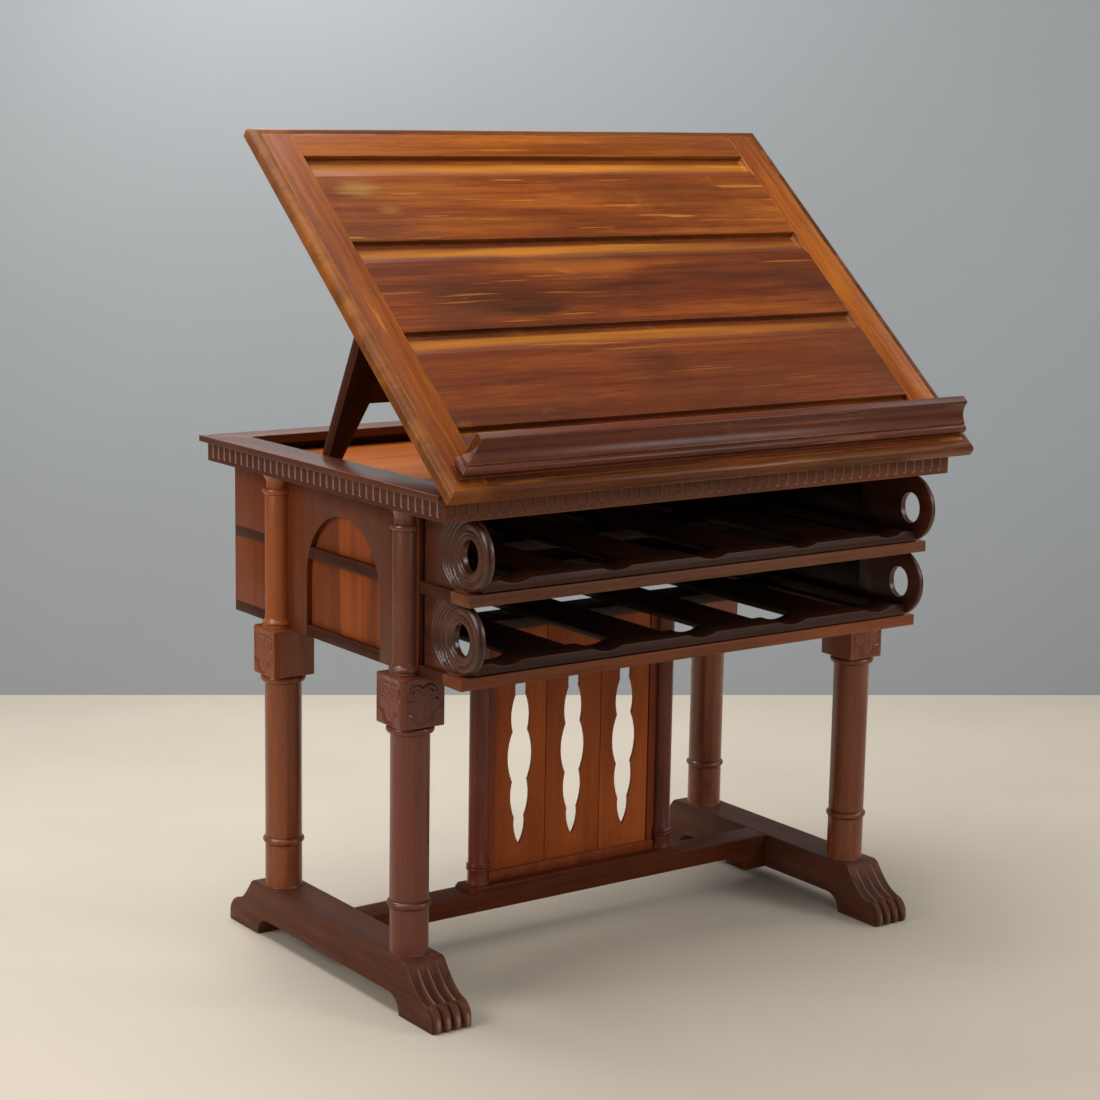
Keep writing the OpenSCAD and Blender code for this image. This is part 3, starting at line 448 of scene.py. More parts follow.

# Each wood: dark, plain and light tones; grain, seed, roughness, coat; worn and highlight tone,
# edge wear and highlight and its reach in millimetres, clouds; and what is special about it
WOODS = {
    "foot": ("301c16", "5a362e", "6e463c", "y", 1, 0.44, 0, "a49490", 0.6, 2, 0.12,
        dict(painted_light_and_wear=0.9, gloss=0.14)),
    "stretcher": ("30180f", "5a2c1a", "703c22", "x", 2, 0.48, 0, "a8643a", 0.4, 3, 0.3,
        dict(gloss=0.1)),
    # A darker copy of the leg wood for the front left leg: painted shade
    "shaded front left leg": ("36180f", "69332a", "7e4438", "z", 3, 0.27, 0.15, "a8643a", 0.25, 3, 0.3,
        dict(painted_light_and_wear=0.7, figured=0.45, gloss=0.4)),
    "leg": ("4a240e", "7e4124", "9a5829", "z", 4, 0.27, 0.15, "b87040", 0.25, 3, 0.35,
        dict(painted_light_and_wear=0.7, figured=0.5, gloss=0.4)),
    "post": ("3a160e", "692c1e", "843c26", "z", 5, 0.26, 0.15, "a8643a", 0.2, 2, 0.4, {}),
    "left plank": ("783614", "a25220", "b8662c", "z", 6, 0.42, 0, "c8803c", 0.2, 3, 0.55, PLANK),
    "middle plank": ("723212", "984c1e", "b05e26", "z", 7.3, 0.42, 0, "c8803c", 0.2, 3, 0.55,
        PLANK),
    "right plank": ("7c3a16", "a65624", "bc6c30", "z", 8.9, 0.42, 0, "c8803c", 0.2, 3, 0.55, PLANK),
    "panel frame": ("4c1e10", "843c1e", "9c4e28", "z", 8.2, 0.4, 0.05, "a8643a", 0.2, 2, 0.5,
        dict(figured=0.5, gloss=0.25)),
    "low rail": ("44200f", "764026", "945832", "x", 9, 0.42, 0, "b88458", 0.6, 2, 0.4,
        dict(gloss=0.25)),
    "mid rail": ("3a1c12", "69402e", "845640", "x", 10, 0.42, 0, "b88c68", 0.6, 2, 0.4,
        dict(gloss=0.25)),
    "side rail": ("2c1510", "47271d", "5a3428", "y", 11, 0.4, 0, "a87858", 0.55, 2, 0.4,
        dict(gloss=0.15)),
    "cross rail": ("1a0e0a", "30190f", "402218", "x", 12, 0.5, 0, None, 0, 3, 0.35, {}),
    "cheek": ("26120c", "512a20", "6a382a", "y", 13, 0.3, 0.15, "a08478", 0.35, 2, 0.4,
        dict(painted_light_and_wear=0.75, gloss=0.4)),
    # Its inside faces get painted shade, and the strip in the gap behind the cheek a painted shadow
    "side board": ("52260f", "763818", "8e4a22", "z", 14, 0.38, 0, "b87040", 0.15, 3, 0.45,
        dict(figured=0.6, gloss=0.25, gap_shade_y=-203.4, faded=("Y", MIDDLE_Y, 112, "a45420", 0.1, 0.75),
            inner=433.2)),
    "arch": ("44200f", "67331c", "824625", "z", 15, 0.36, 0.05, "b88058", 0.35, 2, 0.4,
        dict(figured=0.45, gloss=0.25)),
    # The back columns are made paler and oranger than the front ones: painted light
    "column": ("3c1e15", "704030", "885243", "z", 16, 0.25, 0.2, "b08060", 0.2, 2, 0.45,
        dict(cloud_tone="4c2418", figured=0.5, gloss=0.5, faded=("Y", MIDDLE_Y + LEG_Y, 60,
            "a85a26", 0.3, 0.7))),
    "back board": ("2a1410", "44230f", "54301c", "x", 17, 0.5, 0, None, 0, 3, 0.35, {}),
    "frieze": ("3e2014", "6e3e28", "855034", "x", 18, 0.4, 0, "a88c80", 0.25, 2, 0.4,
        dict(painted_light_and_wear=0.9, gloss=0.25)),
    "frieze side": ("381a10", "562c20", "6c3a2a", "y", 19, 0.4, 0, "a8929a", 0.2, 2, 0.4,
        dict(painted_light_and_wear=0.9, gloss=0.25)),
    "well": ("6c3810", "9a5218", "bc7828", "x", 20, 0.5, 0, None, 0, 3, 0.35,
        dict(figured=0.6, gloss=0.05)),
    "rack": ("4a2010", "6a3216", "844620", "y", 21, 0.45, 0, "b87548", 0.3, 2, 0.3, {}),
    "top front": ("34190f", "5c3122", "764430", "x", 22, 0.36, 0.12, "a87858", 0.35, 3, 0.4, {}),
    "top side": ("38190f", "5c301f", "744029", "y", 23, 0.3, 0.15, "a07050", 0.2, 2, 0.4, {}),
    "stile": ("5a280b", "884819", "ac6826", "slope", 24, 0.38, 0, "d89c50", 0.5, 4, 0.5,
        dict(cloud_tone="562a10", marks=0.35, bump=0.35, figured=0.9, gloss=0.15)),
    "desk rail": ("5a2c0c", "864818", "a86624", "board", 25, 0.38, 0, "d09c50", 0.4, 4, 0.45,
        dict(cloud_tone="502810", marks=0.35, bump=0.35, figured=0.85, gloss=0.15)),
    "low board": ("421c0e", "6e371f", "8c502a", "board", 26.4, 0.38, 0, "bc7c32", 0.35, 3, 0.6,
        dict(BOARD, cloud_tone="381e12", marks=0.5, figured=0.75)),
    "middle board": ("421c0c", "703519", "985624", "board", 28.1, 0.38, 0, "c48432", 0.35, 3, 0.6,
        dict(BOARD, cloud_tone="3a1e10", marks=0.5, figured=0.8)),
    "high board": ("48200c", "7e4019", "a46228", "board", 29.9, 0.38, 0, "c88a36", 0.35, 3, 0.55,
        dict(BOARD, cloud_tone="44220e", marks=0.6, figured=0.85)),
    # Its left end is made golden: a painted highlight
    "moulding": ("34190b", "62341a", "885628", "board", 31, 0.34, 0, "c88c48", 0.5, 4, 0.55,
        dict(cloud_tone="2c1a0e", marks=0.3, figured=0.8, gloss=0.15, faded=("X", -500, 60,
            "ac6a2c", 0.25, 0.45))),
    "ledge": ("34170e", "603020", "7c4630", "x", 32, 0.34, 0.04, "b88868", 0.4, 2, 0.5,
        dict(marks=0.25, gloss=0.22)),
    "batten": ("5a2c14", "84451f", "9c5828", "x", 33, 0.45, 0.05, None, 0, 3, 0.35, {}),
    "strut": ("24110c", "44200f", "5e301a", "strut", 34, 0.4, 0, "a86c44", 0.4, 3, 0.4,
        dict(gloss=0.15)),
    "strut panel": ("24110c", "44200f", "5e301a", "x", 34.7, 0.4, 0, "a86c44", 0.4, 3, 0.4,
        dict(gloss=0.15)),
    "tray rail": ("1c0d08", "38201a", "4a2c22", "x", 35, 0.4, 0, "8c6450", 0.35, 2, 0.4,
        dict(gloss=0.2)),
    # Slats and tray frames made near black: painted shade, as they stand in the shade inside the
    # tiers
    "slat": ("120907", "24120d", "321a12", "y", 36, 0.4, 0, "5c3c30", 0.2, 2, 0.4, dict(gloss=0.2)),
}

FINISHES = {}


def finish_of(key):
    """A finish by its key, built when it is first asked for."""
    if key not in FINISHES:
        if key == "hinge":
            FINISHES[key] = aged_metal("Aged hinge metal")
        else:
            *usual, special = WOODS[key]
            FINISHES[key] = wood(key.capitalize() + " wood", *usual, **special)
    return FINISHES[key]


def dress(slot, *plain, smooth=30):
    """Eases plain solids and finishes them; each is given as node, finish, width, segments."""
    for node, key, *easing in plain:
        settle(softened(node, *easing), node + "_eased", node, key, smooth)


# Sizes and colours
class LecternSizes(bpy.types.PropertyGroup):
    edge: bpy.props.FloatProperty(
        name="Eased edges", description="Width of the eased edges of plain boards",
        default=1.2 * MM, min=0.2 * MM, max=3 * MM, precision=4, unit="LENGTH")
    gouge_pitch: bpy.props.FloatProperty(
        name="Gouge pitch", description="Distance between two gouges of the frieze",
        default=19.5 * MM, min=16 * MM, max=28 * MM, precision=4, unit="LENGTH")
    gouge_depth: bpy.props.FloatProperty(
        name="Gouge depth", description="Depth of the gouges of the frieze",
        default=2 * MM, min=1 * MM, max=3 * MM, precision=4, unit="LENGTH")
    toe_depth: bpy.props.FloatProperty(
        name="Toe depth", description="How far the toes of the paws round off",
        default=6.5 * MM, min=2 * MM, max=9 * MM, precision=4, unit="LENGTH")
    leaf_depth: bpy.props.FloatProperty(
        name="Leaf depth", description="Depth of the groove round the carved leaves",
        default=1.8 * MM, min=1 * MM, max=4 * MM, precision=4, unit="LENGTH")
    scroll_depth: bpy.props.FloatProperty(
        name="Scroll groove depth", description="Depth of the grooves carved in the scrolls",
        default=1.9 * MM, min=0.5 * MM, max=4 * MM, precision=4, unit="LENGTH")


class LecternColours(bpy.types.PropertyGroup):
    floor: bpy.props.FloatVectorProperty(
        name="Floor", description="Colour of the studio floor", subtype="COLOR", size=3,
        default=tone("cabfaf")[:3], min=0.0, max=1.0)
    wall: bpy.props.FloatVectorProperty(
        name="Wall", description="Colour of the studio wall", subtype="COLOR", size=3,
        default=tone("9da3a7")[:3], min=0.0, max=1.0)


# Sled feet with carved paws
def foot_line():
    """Side view of a foot, as a closed line of (y, z)."""
    end = [(236, 90), (243, 86.6), (249, 79.5), (256, 71), (264, 62), (273, 53.5), (283, 46.5),
           (292, 42.5), (298.5, 40), (303, 40.6), (308.5, 38.8), (314.5, 33.5), (319.5, 26.5),
           (323.5, 18), (324.8, 11), (324, 6), (321, 2), (316, 0)]
    fine = []
    for k in range(len(end) - 1):
        a, b, c, d = [np.array(end[min(max(k + n, 0), len(end) - 1)], float)
                      for n in (-1, 0, 1, 2)]
        for t in (0, 0.34, 0.67):
            fine.append(0.5 * (2 * b + (c - a) * t + (2 * a - 5 * b + 4 * c - d) * t * t
                               + (3 * b - a - 3 * c + d) * t ** 3))
    fine = np.array(fine + [end[-1]])
    top = np.array([(y, FOOT_TOP) for y in np.linspace(-228, 228, 25)])
    pad = [(290, 0), (256, 0), (228, 0)] + arc(192, 0, 30, 30, 0, 90, 12)
    hollow = [(y, 30.0) for y in np.linspace(180, -180, 13)]
    under = np.array(pad + hollow + [(-y, z) for y, z in reversed(pad)])
    return np.vstack([top, fine, under, fine[::-1] * (-1, 1), top[:1]])


def foot(side, toe_depth):
    """A foot as a grid: columns across it, rows along its side view, sunk where it is carved."""
    wide = 71.0
    toe_wide = wide / 4
    line = foot_line()
    run = np.roll(line[:-1], -1, 0) - np.roll(line[:-1], 1, 0)
    run /= np.linalg.norm(run, axis=1)[:, None]
    inward = np.stack([run[:, 1], -run[:, 0]], 1)
    far, high = np.abs(line[:, 0]), line[:, 1]
    toe = rise(far, 299, 306) * rise(high, 0, 5) * (high < 45)
    slope = rise(far, 238, 262) * (1 - rise(far, 298, 304)) * (high > 34)
    claw = rise(far, 310, 322) * (1 - rise(high, 14, 26)) * (high > 0.5)
    columns = np.concatenate([[0, 0.4, 1.2], np.linspace(2.2, wide - 2.2, 69),
                              [wide - 1.2, wide - 0.4, wide]])

    def place(u, v, i, j):
        j = j % (len(line) - 1)
        # q goes from 0 on the middle of a toe to 1 between two toes
        q = np.abs((u / toe_wide) % 1 * 2 - 1)
        round_off = 1 - np.sqrt(np.clip(1 - 0.985 * q ** 2.4, 0, 1))
        sink = toe[j] * toe_depth * round_off
        sink += claw[j] * 2.4 * np.clip(q * 1.3, 0, 1) ** 1.6
        sink += slope[j] * 2.8 * (1 - q ** 2.5)
        corner = np.clip(1 - np.minimum(u, wide - u) / 2.2, 0, 1)
        sink += 1.7 * (1 - np.sqrt(1 - corner ** 2)) * (1 - toe[j])
        y, z = line[j].T + inward[j].T * sink
        # Painted shade in the channels of the slope and between the toes; a painted highlight on
        # the ridges between the channels; pale wear on the toe tips
        ridge_highlight = sum(np.exp(-((u - k * toe_wide) / 1.1) ** 2) for k in (1, 2, 3))
        hollow = slope[j] * (0.45 * (1 - q ** 2) - 1.3 * ridge_highlight) + toe[j] * round_off * 1.1
        tip = rise(far[j], 312, 322) * (1 - rise(high[j], 18, 30)) * (1 - q)
        carved = np.clip(hollow - tip * 0.65, -1, 1) * (np.minimum(u, wide - u) > 0.2)
        return (side * LEG_X + u - wide / 2, y + MIDDLE_Y, np.maximum(z, 0)), carved

    return bent_grid(columns, np.arange(len(line)), place, capped=True)


class MakeFeet(bpy.types.Operator):
    """Carves the two sled feet with their paws and eases the stretcher"""
    bl_idname = "lectern.feet"
    bl_label = "Sled feet and stretcher"

    def execute(self, context):
        toe_depth = context.scene.lectern_sizes.toe_depth / MM
        for side, word in ((-1, "left"), (1, "right")):
            settle(foot(side, toe_depth), "sled_foot_" + word, "foot_" + word,
                   "foot", 40)
        dress("foot_wood", ("stretcher", "stretcher", 1.6))
        return {"FINISHED"}


# Turned legs with carved blocks
def leaf(p, q, depth):
    """How deep the carving lies at (p, q), in millimetres from the middle of a block's face."""
    lobes = ((-11, 14, 13.5, 14), (11, 14, 13.5, 14), (-17, -3, 12, 11), (17, -3, 12, 11),
             (0, -14, 13, 16), (0, 4, 16, 16))
    away = np.stack([np.sqrt(((p - x) / rx) ** 2 + ((q - z) / rz) ** 2) for x, z, rx, rz in lobes])
    away.sort(axis=0)
    near, second = away[0], away[1]
    ground = rise(near, 0.93, 1.06) * (1 - rise(near, 1.12, 1.75))
    valley = (near < 1.05) * np.exp(-((second - near) / 0.09) ** 2) * (second < 1.25)
    cuts = [depth * ground,
            0.4 * depth * valley * rise(np.hypot(p, q + 2), 6, 16),
            0.45 * depth * np.exp(-(p / 0.8) ** 2) * rise(8 - q, 0, 8) * rise(q, -27, -20)]
    # Drilled dots beside the lobes
    for x, z, r in ((-17, 19, 2.2), (17, 19, 2.2), (-23.5, 6.5, 1.8), (23.5, 6.5, 1.8)):
        cuts.append(1.3 * depth * (1 - rise(np.hypot(p - x, q - z), 0.8, r + 1)))
    # Curls in the two upper lobes
    for x in (-12, 12):
        curl = np.hypot(p - x, q - 15.5)
        turn = np.arctan2(q - 15.5, (p - x) * np.sign(x))
        cuts.append(0.45 * depth * np.exp(-((curl - 5.5 - 0.7 * turn) / 0.9) ** 2) * (turn > -1.8))
    # A groove along each side of the face
    for x in (-33, 33):
        cuts.append(0.5 * depth * np.exp(-((p - x) / 0.8) ** 2) * rise(30 - np.abs(q), 0, 2))
    return np.max(cuts, axis=0)


def leg_block(sx, sy, depth):
    """The square block: a strip wound round it, with the leaf cut in its two outer faces."""
    half, corner, ease = 37.5, 9.5, 1.6
    # Stations round the block: x, y, place across a carved face, and which way it is cut
    face = np.linspace(-half + 1, half - corner, 60)
    loop = [(-half, -s, s, 1, 0) for s in face]
    loop += [(-half + corner - corner * cos(a), -half + corner - corner * sin(a), 0, 0, 0)
             for a in np.radians(np.linspace(0, 90, 9)[1:-1])]
    loop += [(-s, -half, s, 0, 1) for s in face[::-1]]
    loop += [(x, y, 0, 0, 0) for x, y in (
        (half - 0.3, -half + 0.3), (half, -half + 1), (half, half - 1), (half - 1, half),
        (-half + 1, half), (-half + 0.3, half - 0.3))]
    loop = np.array(loop + loop[:1])

    def place(u, v, i, j):
        x, y, across, cut_x, cut_y = loop[i].T
        carved = leaf(across, v - BLOCK_HIGH / 2, depth) * (cut_x + cut_y)
        ends = np.clip(1 - np.minimum(v, BLOCK_HIGH - v) / ease, 0, 1)
        shrink = 1 - 1.3 * (1 - np.sqrt(1 - ends ** 2)) / half
        x, y = (x + cut_x * carved) * shrink, (y + cut_y * carved) * shrink
        # Painted shade in the carved ground of the leaf
        hollow = 0.3 * np.clip(carved / depth - 0.3, 0, 2)
        return (sx * (LEG_X - x), sy * (LEG_Y - y) + MIDDLE_Y, v + BLOCK_BASE), hollow

    rows = np.concatenate([[0, 0.4, ease], np.linspace(2.4, BLOCK_HIGH - 2.4, 76),
                           [BLOCK_HIGH - ease, BLOCK_HIGH - 0.4, BLOCK_HIGH]])
    return bent_grid(np.arange(len(loop)), rows, place, capped=True)


class MakeLegs(bpy.types.Operator):
    """Turns the four legs and carves the leaves in their square blocks"""
    bl_idname = "lectern.legs"
    bl_label = "Turned legs"

    def execute(self, context):
        depth = context.scene.lectern_sizes.leaf_depth / MM
        r = 30.5
        profile = [(0.01, 0), (r + 0.6, 0), (r, 1.2), (r, 40), (r, 70), (r - 0.5, 73.4)]
        profile += arc(r, 79, 3.8, 4.6, -75, 75, 11)
        profile += [(r - 0.5, 84.6), (r, 88), (r - 0.2, 200), (r, 346), (r + 0.3, 347.6),
                    (r + 2, 348.6)]
        profile += arc(r + 3.2, 354, 3.6, 5.2, -65, 65, 10)
        profile += [(r + 2.4, 359.6), (r + 2.2, 362)]
        # Height and reach of the painted shade in the quirks beside the ring and the collar
        quirks = ((73.6, 0.9), (84.6, 0.5), (347.8, 0.9), (360, 0.6))
        for sx, sy, word in ((-1, -1, "front_left"), (1, -1, "front_right"),
                             (-1, 1, "back_left"), (1, 1, "back_right")):
            shaft = turned(profile, (sx * LEG_X, sy * LEG_Y + MIDDLE_Y, FOOT_TOP))
            up = points_of(shaft)[:, 2] / MM - FOOT_TOP
            mark(shaft, "hollow", sum(0.95 * (np.abs(up - z) < reach) for z, reach in quirks))
            # The front left leg takes the darker copy of the leg wood, a painted shade
            key = "shaded front left leg" if word == "front_left" else "leg"
            settle(joined([leg_block(sx, sy, depth), shaft]), "turned_leg_" + word,
                   "leg_" + word, key, 40)
        return {"FINISHED"}


# Pierced panel between the posts
class MakePanel(bpy.types.Operator):
    """Turns the two posts and eases the pierced planks with their frame"""
    bl_idname = "lectern.panel"
    bl_label = "Pierced panel"

    def execute(self, context):
        r, base, middle_x = 16.5, 98, 192
        profile = [(0.01, 0), (r + 3, 0), (r + 3, 3), (r + 2.2, 5), (r + 1, 8), (r + 0.6, 22)]
        profile += arc(r + 0.3, 27, 2.8, 2.7, -80, 80, 7)
        profile += arc(r + 0.3, 33, 2.8, 2.7, -80, 80, 7)
        profile += [(r, 37), (r, 200), (r, 430.5)]
        posts = [turned(profile, (x, MIDDLE_Y, base), 48) for x in (-middle_x, middle_x)]
        settle(joined(posts), "turned_posts", "panel_posts", "post", 40)
        dress("foot_wood", ("panel_plinth", "stretcher"))
        dress("panel_wood", ("panel_bottom_rail", "panel frame"), ("panel_stiles", "panel frame"))
        for word in ("left", "middle", "right"):
            dress("panel_wood", ("panel_plank_" + word, word + " plank", 1.4))
        return {"FINISHED"}


# Case
def half_column(side, end):
    """A column cut off flat where it meets the arched board."""
    r, cut, face, high = 22.0, 4.0, 454.0, 256.0
    profile = [(0, 0), (r + 3.9, 0), (r + 3.9, 3.2), (r + 3.2, 4)]
    profile += arc(r + 1.4, 8.4, 3.2, 4.2, -65, 70, 10)
    profile += [(r + 1.6, 13.4), (r + 0.7, 16), (r, 20.5), (r, 100), (r, high - 38),
                (r - 0.6, high - 36.4), (r - 0.4, high - 35.4)]
    profile += arc(r + 0.2, high - 30.6, 3.7, 4.8, -75, 80, 12)
    profile += [(r - 2.2, high - 25), (r - 2.8, high - 21), (r - 2.4, high - 16),
                (r - 0.8, high - 11), (r + 2, high - 6.4), (r + 3.9, high - 4.4),
                (r + 3.9, high), (0, high)]
    profile = np.array(profile)

    def place(u, v, i, j):
        radius, z = profile[j].T
        turn = u * np.arccos(np.clip(-cut / np.maximum(radius, cut), -1, 1))
        x = np.where(radius < 1, face, face + cut + radius * np.cos(turn))
        y = end * LEG_Y + MIDDLE_Y + radius * np.sin(turn)
        return (side * x, y, CASE_BASE + z), np.zeros_like(u)

    return bent_grid(np.linspace(-1, 1, 49), np.arange(len(profile)), place, capped=True)


class MakeCase(bpy.types.Operator):
    """Eases the frames, boards and columns of the open case"""
    bl_idname = "lectern.case"
    bl_label = "Case"

    def execute(self, context):
        edge = context.scene.lectern_sizes.edge / MM
        dress("case_wood", ("bottom_front_rail", "low rail", edge),
              ("mid_front_rail", "mid rail", edge), ("bottom_back_rail", "cross rail", edge),
              ("mid_back_rail", "cross rail", edge), ("bottom_side_rails", "side rail", 0.8),
              ("mid_side_rails", "side rail", 0.8), ("cross_rails", "cross rail", edge))
        dress("side_wood", ("side_boards", "side board", 0.5), ("arch_board_left", "arch"),
              ("arch_board_right", "arch"))
        dress("case_wood", ("back_boards", "back board", 0.5))
        columns = joined([half_column(side, end) for side in (-1, 1) for end in (-1, 1)])
        settle(columns, "half_columns", "engaged_columns", "column", 40)
        return {"FINISHED"}


# Scroll-ended cheeks
def cheek(side, front, base, groove):
    """A cheek as rings round the eye of its scroll: plain inside, carved outside."""
    # Its end is round about a middle that lies behind the eye by the shift
    reach, shift, high = 55.0, 4.0, 55.0
    cy, cz = front + 18.0, base + high
    back = -223.5 - cy
    eye_wide, eye_high = 21.8, 25.4
    ease, rings_from = 1.2, 80.0
    # Stations of a section, each with how far it has gone: inner face, edge, outer face, eye
    section = [("in", t) for t in (0, 0.5, 1)]
    section += [("edge", t) for t in (0, 0.4, 1)]
    section += [("side", t) for t in (0.2, 0.6, 1)]
    section += [("out", t) for t in np.linspace(0, 1, 62)]
    section += [("eye", t) for t in (0, 0.08, 0.2, 0.5, 0.9, 1)]
    section.append(section[0])

    def place(u, v, i, j):
        a = np.radians(u)
        ahead, up = np.cos(a), np.sin(a)
        limit = np.sqrt(reach ** 2 - (shift * up) ** 2) - shift * ahead
        straight = np.minimum(high / np.maximum(np.abs(up), 1e-6),
                              back / np.maximum(-ahead, 1e-6))
        limit = np.where(limit * ahead > -shift, limit, straight)
        eye = 1 / np.hypot(ahead / eye_wide, up / eye_high)
        r, x, depth = np.zeros_like(a), np.zeros_like(a), np.zeros_like(a)
        for k, (what, t) in enumerate(section):
            here = j == k
            lim, hole, fa, fb = limit[here], eye[here], ahead[here], up[here]
            if what == "in":
                r[here] = hole + (lim - ease - hole) * t
                x[here] = CHEEK_IN
            elif what == "edge":
                r[here] = lim - ease * (1 - t) ** 2
                x[here] = CHEEK_IN + ease * t
            elif what == "side":
                brim = carved_scroll(lim * fa, lim * fb, lim, lim, groove)
                r[here] = lim
                x[here] = CHEEK_IN + ease + (CHEEK_OUT - brim - CHEEK_IN - ease) * t
            elif what == "out":
                split = np.minimum(lim, rings_from)
                if t < 0.12:
                    ring = lim - (lim - split) * t / 0.12
                else:
                    ring = split + (hole - split) * (t - 0.12) / 0.88
                r[here] = ring
                depth[here] = carved_scroll(ring * fa, ring * fb, ring, lim, groove)
                x[here] = CHEEK_OUT - depth[here]
            else:
                r[here] = hole - 0.8 * sin(pi * min(t * 2.5, 1))
                x[here] = CHEEK_OUT - 2.0 + (CHEEK_IN - CHEEK_OUT + 2.0) * t
        # Painted shade in the deeper grooves of the scroll
        hollow = np.clip((depth - 0.9) / 2.2, 0, 1)
        return (side * x, cy - r * ahead + MIDDLE_Y, cz + r * up), hollow

    return bent_grid(np.linspace(0, 360, 257), np.arange(len(section)), place)


def carved_scroll(ahead, up, r, limit, groove):
    """Depth of the carving on a scroll's outer face, from the middle of the eye."""
    front = rise(ahead, -14, 12)
    rim = limit - r
    bead = np.where(rim < 8, 4.6 * (1 - rim / 8) ** 2, 1.9 * np.clip((rim - 8) / 8, 0, 1) ** 2)
    bead = np.where(rim > 16, 1.9 - 1.0 * rise(rim - 16, 0, 6), bead)
    behind = np.full_like(r, 0.4)
    for reach in (73.0, 66.0, 58.0, 47.0):
        shift = (reach ** 2 - 2500) / (2 * reach)
        far = np.hypot(ahead + shift, up) - (reach - shift)
        behind = np.maximum(behind, groove * np.exp(-(far / 1.5) ** 2) + 0.3)
    behind *= 1 - 0.8 * rise(r, 75, 80)
    ring = groove * np.exp(-((r - 32.5) / 1.5) ** 2)
    lip = 2.0 * (1 - rise(r, 25.4, 28)) ** 2
    edge = 0.8 * np.clip(1 - rim / 1.2, 0, 1)
    depth = front * bead + (1 - front) * np.maximum(behind, edge)
    return np.maximum(np.maximum(depth, ring * (1 - front * 0.3)), lip)


class MakeCheeks(bpy.types.Operator):
    """Carves the four cheeks with their pierced scrolls"""
    bl_idname = "lectern.cheeks"
    bl_label = "Scroll-ended cheeks"

    def execute(self, context):
        groove = context.scene.lectern_sizes.scroll_depth / MM
        for tier, front, base in (("lower", -338.5, 547.0), ("upper", -358.5, 675.0)):
            for side, word in ((-1, "left"), (1, "right")):
                settle(cheek(side, front, base, groove), f"scroll_{tier}_{word}",
                       f"scroll_cheek_{tier}_{word}", "cheek", 45)
        return {"FINISHED"}


# Gouged frieze
def frieze_run(length, sizes, place_run, lit=1):
    """One piece of the frieze; lit says on which side of a gouge the painted highlight on its lip
    shows.
    """
    pitch, gouge_depth = sizes.gouge_pitch / MM, sizes.gouge_depth / MM
    wide, bottom, high, thick = 3.4, 6.0, 28.0, 12.0
    half = length / 2
    count = int((length - 8) / pitch)
    last = (count - 1) / 2
    steps = (-pitch / 2, -4.2, -3.4, -3.0, -2.2, -1.1, 0, 1.1, 2.2, 3.0, 3.4, 4.2)
    across = [-half, -half, -half + 0.8]
    across += [(k - last) * pitch + step for k in range(count) for step in steps]
    across += [half - 0.8, half, half]
    up = [0, 0, 0.7, 3, 5.4, 6.2, 6.8, 7.6, 8.4, 9.4, 11, 16, 22, 27.6, high, high]

    def place(u, v, i, j):
        centre = np.clip((np.rint(u / pitch + last) - last) * pitch, -last * pitch, last * pitch)
        side = np.abs(u - centre)
        rho = np.where(v > bottom + wide, side, np.hypot(side, v - bottom - wide))
        sink = gouge_depth * np.clip(1 - (rho / wide) ** 2, 0, 1) ** 0.6
        rim = (i == 0) | (i == len(across) - 1) | (j == 0) | (j == len(up) - 1)
        ends = (i <= 1) | (i >= len(across) - 2)
        along = u - np.sign(u) * np.where(rim & ends, thick, 0)
        # A painted highlight on the lip of each gouge, on its lit side and round its foot; painted
        # shade inside the gouge
        lit_side = ((u - centre) * lit > 0) | (v < bottom + wide)
        lip = np.exp(-((rho - 0.72 * wide) / 0.9) ** 2) * lit_side
        shade = 0.35 * np.clip(sink / gouge_depth, 0, 1) - 1.3 * lip
        placed = place_run(along, np.where(rim, thick, sink), v)
        return placed, np.clip(np.where(rim, 0, shade), -1, 1)

    return bent_grid(across, up, place, capped=True)


class MakeFrieze(bpy.types.Operator):
    """Cuts the gouges in the four pieces of the frieze"""
    bl_idname = "lectern.frieze"
    bl_label = "Gouged frieze"

    def execute(self, context):
        sizes = context.scene.lectern_sizes
        front, back, x, base = -357.3 + MIDDLE_Y, 361.5 + MIDDLE_Y, 497.5, 785.0
        middle, deep = (front + back) / 2, back - front
        piece = frieze_run(2 * x, sizes, lambda a, d, h: (a, front + d, base + h))
        settle(piece, "frieze_front_gouged", "frieze_front", "frieze", 50)
        piece = frieze_run(2 * x, sizes, lambda a, d, h: (-a, back - d, base + h))
        settle(piece, "frieze_back_gouged", "frieze_back", "frieze", 50)
        sides = [frieze_run(deep, sizes, lambda a, d, h: (s * (x - d), middle + s * a, base + h), s)
                 for s in (-1, 1)]
        settle(joined(sides), "frieze_sides_gouged", "frieze_sides",
               "frieze side", 50)
        return {"FINISHED"}


# Top frame and well
class MakeTop(bpy.types.Operator):
    """Eases the top frame, the well floor and the racks"""
    bl_idname = "lectern.top"
    bl_label = "Top frame and well"

    def execute(self, context):
        dress("well_wood", ("well_floor", "well", 0.5))
        dress("top_wood", ("top_front_rail", "top front", 1.6, 3),
              ("top_back_rail", "top front", 1.6, 3), ("top_side_rails", "top side", 1.6, 3))
        dress("well_wood", ("strut_racks", "rack", 0.4))
        dress("hinge_metal", ("desk_hinge_fixed_leaves", "hinge", 0))
        return {"FINISHED"}


